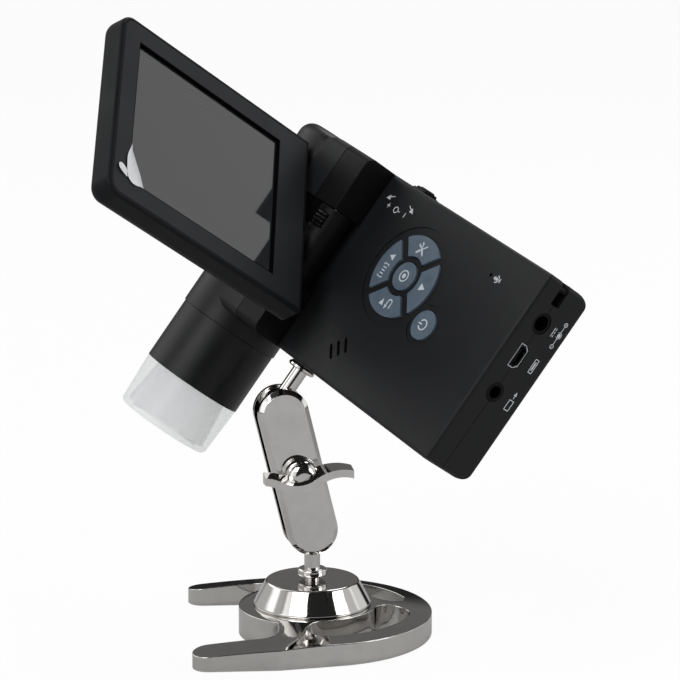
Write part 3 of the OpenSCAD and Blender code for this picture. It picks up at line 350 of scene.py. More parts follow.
class Finishes(Enum):
    """Every finish on the microscope."""

    SHELL = MouldedAbs("black_abs_shell", "#131416", 0.50, specular=0.26, rubbed="#1a1b1e")
    TUBE = MouldedAbs("black_abs_tube", "#0e0f10", 0.38, specular=0.32, rubbed="#151618")
    BEZEL = MouldedAbs("black_abs_bezel", "#1a1b1e", 0.46, specular=0.26, rubbed="#202125")
    SCREEN_BACK = MouldedAbs("black_abs_screen_back", "#101113", 0.5, specular=0.14,
                             rubbed="#1a1b1e")
    # the shell's black plastic drawn darker on the hinge parts: painted shade of the recessed hinge
    HINGE_SHADED = MouldedAbs("black_abs_hinge_painted_shade", "#0b0b0d", 0.46, specular=0.14, rubbed="#111214")
    NYLON = MouldedAbs("black_nylon_socket", "#080809", 0.4, specular=0.12, grain_high_mm=0.004,
                       rubbed="#0e0e0f")
    NICKEL_CAST = NickelPlate("nickel_plated_zinc", "#dcdad7", 0.05, metallic=1.0)
    NICKEL_ARM = NickelPlate("nickel_plated_steel", "#dedcda", 0.045, metallic=1.0)
    STEEL = TurnedMetal("stamped_steel", "#b9bbbd", 0.26, metallic=1.0)
    DARK_STEEL = TurnedMetal("blackened_steel", "#4a4c4f", 0.34, metallic=1.0)
    BRASS = TurnedMetal("turned_brass", "#b8995a", 0.28, metallic=1.0)
    GOLD_PIN = TurnedMetal("gold_flashed_contact", "#c9a554", 0.2, metallic=1.0)
    ANODISED = TurnedMetal("black_anodised_aluminium", "#1c1d1f", 0.38, metallic=0.6)
    ACRYLIC = ClearPlastic("clear_acrylic", "#b2b5bb", 0.01, ior=1.49)
    LENS = ClearPlastic("coated_lens_glass", "#cfe3ee", 0.01, ior=1.52)
    LED = ClearPlastic("led_epoxy", "#fff6d6", 0.06, ior=1.54, density=0.6)
    GLASS = CoverGlass("display_cover_glass", "#08090b", 0.02, ior=1.85)
    # near-black lining for the window's walls: painted shade, standing where the bezel's inner walls fall dark
    WINDOW_SHADE_LINING = MouldedAbs("painted_shade_window_lining", "#050506", 0.8, specular=0.05, rubbed="#08080a")
    PANEL = CoverGlass("display_panel", "#1a1b1f", 0.12)
    FILM = ThinFilm("peel_off_film", "#aeb2b8", 0.08, ior=1.51, alpha=0.04)
    FILM_TAB = ThinFilm("peel_off_film_lifted", "#f1f3f5", 0.3, ior=1.51, alpha=0.92)
    KEY = KeyPlastic("slate_keycap_plastic", "#566573", 0.42, ior=1.46)
    INK = PrintedInk("white_printed_ink", "#e3e6e8", 0.5)
    KEY_INK = PrintedInk("pale_key_ink", "#d6e0e8", 0.5)
    RUBBER = MouldedAbs("moulded_rubber", "#1b1b1c", 0.75, specular=0.2)
    BOARD = BoardMask("green_circuit_board", "#1d5137", 0.3)
    WHITE_BOARD = BoardMask("white_led_board", "#dfe0dc", 0.35)
    CELL = MouldedAbs("wrapped_battery_cell", "#3c4d75", 0.4)
    CHIP = CoverGlass("sensor_window", "#202329", 0.05)
    SPEAKER = MouldedAbs("speaker_can", "#2a2b2d", 0.5)


# ---------------------------------------------------------------- frames and drawing

def joint(name: str) -> dict[str, Any]:
    """Return the record's joint of that name."""
    return next(j for j in frame["joints"] if j["name"] == name)


def mount(name: str) -> dict[str, Any]:
    """Return the record's mount of that name."""
    return next(m for m in frame["record"]["mounts"] if m["name"] == name)


def axes(origin: Vector, x: Vector, y: Vector, z: Vector) -> Matrix:
    """Build the matrix of a frame from its origin and its three unit axes."""
    made = Matrix((x, y, z)).transposed().to_4x4()
    made.translation = origin
    return made


@dataclass
class HeadFrames:
    """The moving frames of the microscope, worked out from its joints and mounts.

    The head frame has X towards the port end, Y into the head from its front face and Z to its
    upper side; its origin is the corner where all three meet.
    """

    port_depth: float = 7.8 * MM
    data_drop: float = 24.85 * MM
    head: Matrix = field(init=False)
    screen: Matrix = field(init=False)

    def __post_init__(self) -> None:
        """Work out the head and screen frames."""
        x = Vector(joint("wheel_turn")["axis"]).normalized()
        y = Vector(joint("ok_press")["axis"]).normalized()
        z = x.cross(y).normalized()
        data = Vector(mount("data_socket")["pos_m"])
        self.head = axes(data - y * self.port_depth + z * self.data_drop, x, y, z)
        flip = joint("screen_flip")
        turn = math.radians(-joint("screen_level")["range_deg"][0])
        along = Vector(joint("screen_swivel")["axis"]).normalized()
        up = -Vector(flip["axis"]).normalized()
        side = up.cross(along)
        facing = side * math.cos(turn) + up * math.sin(turn)
        rising = along.cross(facing)
        self.screen = axes(Vector(joint("screen_level")["pos_m"]), along, facing, rising)


def local_box(node: str, place: Matrix) -> tuple[Vector, Vector]:
    """Measure a CAD node in a turned frame.

    Args:
        node: the node's name.
        place: matrix of the frame to measure in.

    Returns:
        The lowest and highest corner in that frame, in metres.
    """
    turn = place.inverted()
    points = [turn @ v.co for v in frame["nodes"][node].data.vertices]
    low = Vector([min(p[i] for p in points) for i in range(3)])
    high = Vector([max(p[i] for p in points) for i in range(3)])
    return low, high


def dress(finish: Finishes, *nodes: str) -> None:
    """Give CAD nodes a finish."""
    for name in nodes:
        slots = frame["nodes"][name].data.materials
        slots.clear()
        slots.append(finish.value.material())


def soften(width_mm: float, *nodes: str, angle: float = 35.0, segments: int = 2,
           merge: bool = True) -> None:
    """Break the sharp edges of CAD nodes with modifiers that leave their own mesh alone.

    Args:
        width_mm: width of the broken edge in millimetres.
        nodes: names of the CAD nodes.
        angle: edges that turn by more than this many degrees are broken.
        segments: faces across a broken edge.
        merge: whether faces in one plane are joined first. A flat ring round an opening can't
            be joined, because the joined face would be drawn across the opening.
    """
    for name in nodes:
        piece = frame["nodes"][name]
        weld = piece.modifiers.new("weld", "WELD")
        weld.merge_threshold = WELD_MM * MM
        if merge:
            flat = piece.modifiers.new("flat", "DECIMATE")
            flat.decimate_type = "DISSOLVE"
            flat.angle_limit = FLAT_ANGLE
        bevel = piece.modifiers.new("edge", "BEVEL")
        bevel.width = width_mm * MM
        bevel.segments = segments
        bevel.limit_method = "ANGLE"
        bevel.angle_limit = math.radians(angle)
        bevel.use_clamp_overlap = True
        bevel.miter_outer = "MITER_ARC"
        shade = piece.modifiers.new("shade", "WEIGHTED_NORMAL")
        shade.weight = SHADE_WEIGHT


def finish_piece(name: str, mesh: bmesh.types.BMesh, finish: Finishes, body: str,
                 smooth: bool = False) -> bpy.types.Object:
    """Turn a bmesh into a piece that rides on a body.

    Args:
        name: the piece's name.
        mesh: its mesh, in metres, in the shared frame. It is freed.
        finish: its finish.
        body: the body that carries it.
        smooth: whether its faces are shaded smooth.

    Returns:
        The new object.
    """
    data = bpy.data.meshes.new(name)
    bmesh.ops.recalc_face_normals(mesh, faces=mesh.faces)
    for face in mesh.faces:
        face.smooth = smooth
    mesh.to_mesh(data)
    mesh.free()
    data.materials.append(finish.value.material())
    piece = bpy.data.objects.new(name, data)
    bpy.context.scene.collection.objects.link(piece)
    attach(piece, body)
    LOG.info("%s: %d faces on %s", name, len(data.polygons), body)
    return piece


class Ink:
    """Draws flat symbols of printed ink in a plane and lifts them into a thin layer."""

    def __init__(self, place: Matrix, thick_mm: float = 0.03) -> None:
        """Start an empty print.

        Args:
            place: frame of the print: X to the right, Y upwards, Z out of the surface.
            thick_mm: thickness of the ink in millimetres.
        """
        self.place = place
        self.thick = thick_mm * MM
        self.mesh = bmesh.new()

    def fill(self, points: Sequence[Point2]) -> None:
        """Fill an outline given in millimetres."""
        low = [self.mesh.verts.new(self.place @ Vector((x * MM, y * MM, 0))) for x, y in points]
        face = self.mesh.faces.new(low)
        lifted = bmesh.ops.extrude_face_region(self.mesh, geom=[face])
        rise = (self.place.to_3x3() @ Vector((0, 0, 1))) * self.thick
        verts = [g for g in lifted["geom"] if isinstance(g, bmesh.types.BMVert)]
        bmesh.ops.translate(self.mesh, vec=rise, verts=verts)

    def line(self, points: Sequence[Point2], width: float) -> None:
        """Draw a line of one width in millimetres with square joints and round ends."""
        for (x0, y0), (x1, y1) in zip(points, points[1:]):
            length = math.hypot(x1 - x0, y1 - y0)
            nx, ny = -(y1 - y0) / length * width / 2, (x1 - x0) / length * width / 2
            self.fill([(x0 + nx, y0 + ny), (x0 - nx, y0 - ny), (x1 - nx, y1 - ny),
                       (x1 + nx, y1 + ny)])
        for x, y in (points[0], points[-1]):
            self.disc(x, y, width / 2, 10)

    def disc(self, x: float, y: float, radius: float, sides: int = 28) -> None:
        """Fill a disc."""
        self.fill([(x + radius * math.cos(i * math.tau / sides),
                    y + radius * math.sin(i * math.tau / sides)) for i in range(sides)])

    def arc(self, x: float, y: float, radius: float, width: float, start: float = 0.0,
            end: float = 360.0) -> None:
        """Draw an arc of a circle between two angles in degrees."""
        steps = max(8, int((end - start) / 12))
        turns = [math.radians(start + (end - start) * i / steps) for i in range(steps + 1)]
        for a, b in zip(turns, turns[1:]):
            inner, outer = radius - width / 2, radius + width / 2
            self.fill([(x + inner * math.cos(a), y + inner * math.sin(a)),
                       (x + outer * math.cos(a), y + outer * math.sin(a)),
                       (x + outer * math.cos(b), y + outer * math.sin(b)),
                       (x + inner * math.cos(b), y + inner * math.sin(b))])

    def triangle(self, x: float, y: float, size: float, turn: float = 90.0) -> None:
        """Fill an arrowhead that points at an angle in degrees."""
        self.fill([(x + size * math.cos(math.radians(turn + a)),
                    y + size * math.sin(math.radians(turn + a))) for a in (0, 128, 232)])

    def piece(self, name: str, finish: Finishes, body: str) -> bpy.types.Object:
        """Finish the print as a piece on a body and return it."""
        return finish_piece(name, self.mesh, finish, body)


# ---------------------------------------------------------------- sub-assemblies

@dataclass
class Stand:
    """The plated base, the turret, the two ball studs and the clamp arm between them."""

    cast_edge_mm: float = 0.7
    turret_edge_mm: float = 0.35
    plate_edge_mm: float = 0.5
    small_edge_mm: float = 0.25

    def build(self) -> None:
        """Dress the stand and break its edges as casting and polishing do."""
        dress(Finishes.NICKEL_CAST, "base_plate", "turret")
        dress(Finishes.NICKEL_ARM, "lower_ball_stud", "upper_ball_stud", "front_plate",
              "rear_plate", "clamp_bolt", "bolt_washer", "wing_nut")
        dress(Finishes.STEEL, "post_nut")
        dress(Finishes.RUBBER, "foot_pad")
        soften(self.cast_edge_mm, "base_plate", segments=4)
        soften(self.turret_edge_mm, "turret", angle=20.0, segments=3)
        soften(self.plate_edge_mm, "front_plate", "rear_plate", angle=25.0, segments=4)
        soften(self.small_edge_mm, "wing_nut", "clamp_bolt", "bolt_washer", segments=3)
        LOG.info("stand dressed")


@dataclass
class Head:
    """The flat head: two shells, hinge blocks, sockets, and what is inside them."""

    place: Matrix
    shell_edge_mm: float = 0.3
    small_edge_mm: float = 0.15

    def build(self) -> None:
        """Dress the head and add its contacts."""
        dress(Finishes.SHELL, "front_shell", "back_shell", "battery_cover", "upper_hinge_base",
              "lower_hinge_base")
        # hinge caps, barrel, wheel and strap bar take the darker black, which is painted shade
        dress(Finishes.HINGE_SHADED, "upper_hinge_cap", "lower_hinge_cap", "hinge_barrel",
              "bright_wheel", "strap_bar")
        dress(Finishes.NYLON, "dc_jack", "av_jack", "usb_tongue")
        dress(Finishes.STEEL, "usb_shell", "card_socket", "hinge_ribs", "swivel_shaft",
              "hinge_pins", "microphone", "wheel_mount")
        dress(Finishes.DARK_STEEL, "case_screws")
        dress(Finishes.BRASS, "thread_insert")
        dress(Finishes.BOARD, "main_board", "key_board", "sensor_board")
        dress(Finishes.CELL, "battery")
        dress(Finishes.SPEAKER, "speaker")
        soften(self.shell_edge_mm, "front_shell", "back_shell", "upper_hinge_cap",
               "lower_hinge_cap", "upper_hinge_base", "lower_hinge_base")
        soften(self.small_edge_mm, "battery_cover", "hinge_barrel", "bright_wheel", "dc_jack",
               "av_jack", "case_screws")
        self.contacts()

    def contacts(self, count: int = 5, pitch_mm: float = 0.8) -> None:
        """Add the flat contacts on the tongue of the data socket.

        Args:
            count: number of contacts.
            pitch_mm: distance between them.
        """
        low, high = local_box("usb_tongue", self.place)
        mesh = bmesh.new()
        for i in range(count):
            z = (low.z + high.z) / 2 + (i - (count - 1) / 2) * pitch_mm * MM
            size = Vector(((high.x - low.x) * 0.8, 0.12 * MM, 0.4 * MM))
            centre = Vector((high.x - size.x / 2 - 0.2 * MM, low.y, z))
            bar = bmesh.ops.create_cube(mesh, size=1.0)["verts"]
            bmesh.ops.scale(mesh, vec=size, verts=bar)
            bmesh.ops.translate(mesh, vec=centre, verts=bar)
        edges = list(mesh.edges)
        bmesh.ops.bevel(mesh, geom=edges, offset=0.03 * MM, segments=1, affect="EDGES")
        bmesh.ops.transform(mesh, matrix=self.place, verts=mesh.verts)
        finish_piece("data_contacts", mesh, Finishes.GOLD_PIN, "head")


@dataclass
class Keypad:
    """The four ring keys, the middle key and the power key, with their printed symbols."""

    place: Matrix
    key_edge_mm: float = 0.3
    ink_gap_mm: float = 0.01
    ink: float = 0.42

    def build(self) -> None:
        """Dress the keys and print their symbols."""
        keys = ["ok_key", "up_key", "right_key", "down_key", "left_key", "power_key"]
        dress(Finishes.KEY, *keys)
        soften(self.key_edge_mm, *keys, segments=3)
        self.symbol("ok", self.draw_ok)
        self.symbol("up", self.draw_tools)
        self.symbol("right", self.draw_down)
        self.symbol("down", self.draw_back)
        self.symbol("left", self.draw_view)
        self.symbol("power", self.draw_power)

    def symbol(self, key: str, draw: Callable[[Ink], None]) -> None:
        """Print one symbol on a key, turned to read with the hinge at the top.

        Args:
            key: name of the key without its ending.
            draw: the method that draws it.
        """
        low, high = local_box(key + "_key", self.place)
        turn = self.place.to_3x3()
        out, right, up = turn @ Vector((0, -1, 0)), turn @ Vector((0, 0, 1)), turn @ Vector((-1, 0, 0))
        middle = Vector(((low.x + high.x) / 2, low.y - self.ink_gap_mm * MM, (low.z + high.z) / 2))
        print_ = Ink(axes(self.place @ middle, right, up, out))
        draw(print_)
        print_.piece(key + "_symbol", Finishes.KEY_INK, key + "_button")

    def draw_ok(self, ink: Ink) -> None:
        """Draw a ring round a dot, for confirm."""
        ink.arc(0, 0, 1.75, self.ink)
        ink.disc(0, 0, 0.75)

    def draw_tools(self, ink: Ink) -> None:
        """Draw a double-ended wrench, for settings."""
        ink.line([(-1.5, -1.5), (0.7, 0.7)], 0.62)
        ink.arc(1.25, 1.25, 0.72, 0.5, 85, 365)
        ink.line([(-1.5, 1.5), (-0.35, 0.35)], 0.8)
        ink.line([(0.35, -0.35), (1.6, -1.6)], 0.45)

    def draw_down(self, ink: Ink) -> None:
        """Draw a solid arrowhead towards the port end, for down."""
        ink.triangle(0, -0.2, 1.55, 270)

    def draw_view(self, ink: Ink) -> None:
        """Draw an arrowhead towards the hinge and a framed bar, for up and view."""
        ink.triangle(2.9, -0.1, 1.4, 90)
        for pair in (((-3.9, -1.0), (-4.3, -1.0), (-4.3, 1.1), (-3.9, 1.1)),
                     ((-0.2, -1.0), (0.2, -1.0), (0.2, 1.1), (-0.2, 1.1))):
            ink.line(pair, 0.34)
        ink.line([(-3.1, -0.6), (-3.1, 0.7)], 0.4)
        ink.line([(-2.05, -0.6), (-2.05, 0.7)], 0.4)
        ink.line([(-1.0, -0.6), (-1.0, 0.7)], 0.4)

    def draw_back(self, ink: Ink) -> None:
        """Draw an arrowhead and a returning arrow, for play and back."""
        ink.triangle(-0.6, 1.7, 1.3, 0)
        ink.line([(-1.1, -2.4), (0.6, -2.4)], self.ink)
        ink.arc(0.6, -1.5, 0.9, self.ink, -90, 90)
        ink.line([(0.6, -0.6), (-1.0, -0.6)], self.ink)
        ink.triangle(-1.2, -0.6, 0.85, 180)

    def draw_power(self, ink: Ink) -> None:
        """Draw the usual broken ring and bar, for power."""
        ink.arc(0, 0, 1.6, self.ink, 120, 420)
        ink.line([(0, 0.5), (0, 2.0)], self.ink)


@dataclass
class PanelPrint:
    """The small white symbols on the front face and beside the sockets."""

    place: Matrix
    lift_mm: float = 0.01
    line: float = 0.28

    def build(self) -> None:
        """Print the zoom symbols, the sound symbol and the socket symbols."""
        self.zoom()
        self.sound()
        self.sockets()

    def on_face(self, along_mm: float, drop_mm: float) -> Ink:
        """Start a print on the front face, reading with the hinge at the top.

        Args:
            along_mm: distance from the port end.
            drop_mm: distance from the upper side.

        Returns:
            An empty print there.
        """
        turn = self.place.to_3x3()
        point = Vector((-along_mm, -self.lift_mm, -drop_mm)) * MM
        return Ink(axes(self.place @ point, turn @ Vector((0, 0, 1)), turn @ Vector((-1, 0, 0)),
                        turn @ Vector((0, -1, 0))))

    def on_end(self, drop_mm: float, depth_mm: float) -> Ink:
        """Start a print on the port end, reading along the head's upper side.

        Args:
            drop_mm: distance from the upper side.
            depth_mm: distance behind the front face.

        Returns:
            An empty print there.
        """
        turn = self.place.to_3x3()
        point = Vector((self.lift_mm, depth_mm, -drop_mm)) * MM
        return Ink(axes(self.place @ point, turn @ Vector((0, 0, 1)), turn @ Vector((0, -1, 0)),
                        turn @ Vector((1, 0, 0))))

    def zoom(self) -> None:
        """Print a magnifier between plus and minus, with an arrow past each."""
        ink = self.on_face(73.9, 9.0)
        ink.arc(0, 0.3, 0.95, self.line)
        ink.line([(0, -0.6), (0, -1.7)], self.line)
        ink.line([(-0.7, 4.4), (0.7, 4.4)], self.line)
        ink.line([(0, 3.7), (0, 5.1)], self.line)
        ink.line([(-0.6, -4.5), (0.6, -4.5)], self.line + 0.08)
        for side in (1, -1):
            ink.line([(1.9, side * 6.9), (3.3, side * 4.2)], self.line)
            ink.triangle(2.1, side * 6.4, 1.1, side * 115)
        ink.piece("zoom_symbols", Finishes.INK, "head")

    def sound(self) -> None:
        """Print a small microphone beside its opening."""
        ink = self.on_face(18.2, 9.9)
        ink.line([(0, 0.0), (0, 0.9)], 1.0)
        ink.arc(0, 0.2, 1.1, self.line, 180, 360)
        ink.line([(0, -0.9), (0, -1.6)], self.line)
        ink.line([(-0.6, -1.6), (0.6, -1.6)], self.line)
        ink.piece("sound_symbol", Finishes.INK, "head")

    def sockets(self) -> None:
        """Print a symbol beside each socket."""
        ink = self.on_end(13.4, 16.0)
        for side in (-1, 1):
            ink.arc(side * 3.7, 0, 0.62, 0.2)
            ink.line([(side * 0.8, 0), (side * 2.9, 0)], 0.2)
            ink.line([(side * 3.7 - 0.3, 0), (side * 3.7 + 0.3, 0)], 0.14)
        ink.line([(3.7, -0.3), (3.7, 0.3)], 0.14)
        ink.disc(0, 0, 0.62)
        ink.arc(0, 0, 0.95, 0.2, 130, 410)
        ink.piece("power_socket_symbol", Finishes.INK, "head")
        ink = self.on_end(13.4, 13.6)
        ink.line([(-1.4, 0.35), (1.4, 0.35)], 0.24)
        for x in (-1.1, 0.0, 1.1):
            ink.line([(x - 0.28, -0.35), (x + 0.28, -0.35)], 0.24)
        ink.piece("direct_current_symbol", Finishes.INK, "head")
        ink = self.on_end(24.85, 14.6)
        ink.line([(-2.2, -0.7), (-2.2, 0.7), (2.2, 0.7), (2.2, -0.7), (-2.2, -0.7)], 0.24)
        ink.line([(-1.2, 0), (1.2, 0)], 0.5)
        ink.piece("data_socket_symbol", Finishes.INK, "head")
        ink = self.on_end(37.2, 15.2)
        ink.line([(-2.6, -0.9), (-2.6, 0.9), (0.6, 0.9), (0.6, -0.9), (-2.6, -0.9)], 0.24)
        ink.line([(1.3, 0), (2.6, 0)], 0.24)
        ink.triangle(2.7, 0, 0.75, 0)
        ink.piece("video_socket_symbol", Finishes.INK, "head")


@dataclass
class LensTube:
    """The lens tube: housing, focusing sleeve, lenses, lamps and the clear cap."""

    edge_mm: float = 0.3

    def build(self) -> None:
        """Dress the tube and its optics."""
        dress(Finishes.TUBE, "tube_housing", "focus_sleeve")
        dress(Finishes.ANODISED, "lens_carrier")
        dress(Finishes.LENS, "front_lens", "rear_lens")
        dress(Finishes.WHITE_BOARD, "led_board")
        dress(Finishes.LED, "leds")
        dress(Finishes.ACRYLIC, "clear_cap")
        dress(Finishes.CHIP, "image_sensor")
        soften(self.edge_mm, "tube_housing", "focus_sleeve")
        LOG.info("lens tube dressed")


@dataclass
class Screen:
    """The flip-out screen: bezel, back, glass and the film that still covers the glass."""

    place: Matrix
    edge_mm: float = 0.25
    film_mm: float = 0.06
    cells: int = 24
    film_margin_mm: float = 0.8
    ripple: float = 0.4
    # the near-black lining of the window's walls is painted shade, standing where the bezel's inner walls fall
    # dark
    shade_lining_gap_mm: float = 0.05
    shade_lining_mm: float = 0.3
    shade_lining_drop_mm: float = 0.12
    # each row runs from the lifted corner's outer side to its fold
    lifted_rows: tuple[Row, ...] = (
        ((-0.35, 13.3, 0.3), (-0.2, 13.1, 0.2)), ((-0.4, 11.6, 1.35), (0.45, 11.5, 0.2)),
        ((-2.09, 7.92, 1.4), (1.3, 9.8, 0.2)), ((-2.22, 5.9, 1.45), (2.06, 8.43, 0.2)),
        ((-2.03, 2.51, 1.5), (3.3, 6.3, 0.2)), ((-1.59, -0.72, 1.5), (4.58, 4.14, 0.2)),
        ((1.73, -1.88, 1.4), (5.6, 1.9, 0.2)), ((4.6, -0.4, 1.35), (6.5, 0.0, 0.2)),
        ((6.7, -0.35, 0.3), (6.8, -0.2, 0.2)),
    )
    tab_rows: tuple[Row, ...] = (
        ((-2.0, 2.0, 1.5), (-1.59, -0.72, 1.5)), ((-3.4, 2.8, 1.6), (-3.2, 0.0, 1.6)),
        ((-4.7, 3.1, 1.7), (-4.6, 0.5, 1.7)), ((-5.5, 2.4, 1.7), (-5.4, 1.2, 1.7)),
    )

    def build(self) -> None:
        """Dress the screen, line its window's walls with painted shade and lay its film."""
        dress(Finishes.BEZEL, "screen_bezel")
        dress(Finishes.SCREEN_BACK, "screen_back")
        dress(Finishes.GLASS, "screen_glass")
        dress(Finishes.PANEL, "display_panel")
        soften(self.edge_mm, "screen_bezel", merge=False)
        soften(self.edge_mm, "screen_back")
        self.film()
        self.lifted("screen_film_corner", self.lifted_rows)
        self.lifted("screen_film_tab", self.tab_rows)
        self.shade_lining()

    def film(self) -> None:
        """Lay the film on the glass, rippled a little."""
        low, high = local_box("screen_film", self.place)
        mesh = bmesh.new()
        grid = []
        for i in range(self.cells + 1):
            row = []
            for k in range(self.cells + 1):
                x = low.x + (high.x - low.x) * i / self.cells
                z = low.z + (high.z - low.z) * k / self.cells
                wave = self.ripple * math.sin(0.8 * i) * math.sin(0.6 * k)
                y = low.y + self.film_mm * MM * (1 + wave)
                row.append(mesh.verts.new(self.place @ Vector((x, y, z))))
            grid.append(row)
        for a, b in zip(grid, grid[1:]):
            for k in range(self.cells):
                mesh.faces.new((a[k], b[k], b[k + 1], a[k + 1]))
        piece = finish_piece("screen_film_sheet", mesh, Finishes.FILM, "screen", True)
        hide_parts("screen_film")

    def lifted(self, name: str, rows: Sequence[Row], across: int = 4) -> None:
        """Add a lifted part of the film, curled so that it stays high over the window's edge.

        Args:
            name: the piece's name.
            rows: the two ends of each row, as in lifted_rows.
            across: faces across each row.
        """
        low, high = local_box("screen_film", self.place)
        mesh = bmesh.new()
        grid = []
        for start, end in rows:
            row = []
            for k in range(across + 1):
                t = k / across
                x, z, y = (a + (b - a) * r for a, b, r in zip(start, end, (t, t, t * t)))
                row.append(mesh.verts.new(
                    self.place @ Vector((high.x - x * MM, low.y + y * MM, low.z + z * MM))))
            grid.append(row)
        for a, b in zip(grid, grid[1:]):
            for k in range(across):
                mesh.faces.new((a[k], b[k], b[k + 1], a[k + 1]))
        piece = finish_piece(name, mesh, Finishes.FILM_TAB, "screen", True)
        round_ = piece.modifiers.new("round", "SUBSURF")
        round_.levels = round_.render_levels = 2

    def shade_lining(self) -> None:
        """Line the walls of the window with a near-black sheet of painted shade, where the bezel's inner walls
        fall dark.
        """
        low, high = local_box("screen_film", self.place)
        front = local_box("screen_bezel", self.place)[1].y
        top = front - self.shade_lining_drop_mm * MM
        gap = (self.film_margin_mm - self.shade_lining_gap_mm) * MM
        x0, x1, z0, z1 = low.x - gap, high.x + gap, low.z - gap, high.z + gap
        mesh = bmesh.new()
        rings = []
        inside = self.shade_lining_mm * MM
        for d, y in ((0.0, low.y), (0.0, top), (inside, top), (inside, low.y)):
            rings.append([mesh.verts.new(self.place @ Vector((x, y, z))) for x, z in (
                (x0 + d, z0 + d), (x1 - d, z0 + d), (x1 - d, z1 - d), (x0 + d, z1 - d))])
        for a, b in zip(rings, rings[1:] + rings[:1]):
            for k in range(4):
                mesh.faces.new((a[k], a[(k + 1) % 4], b[(k + 1) % 4], b[k]))
        finish_piece("window_painted_shade_lining", mesh, Finishes.WINDOW_SHADE_LINING, "screen")


# ---------------------------------------------------------------- studio

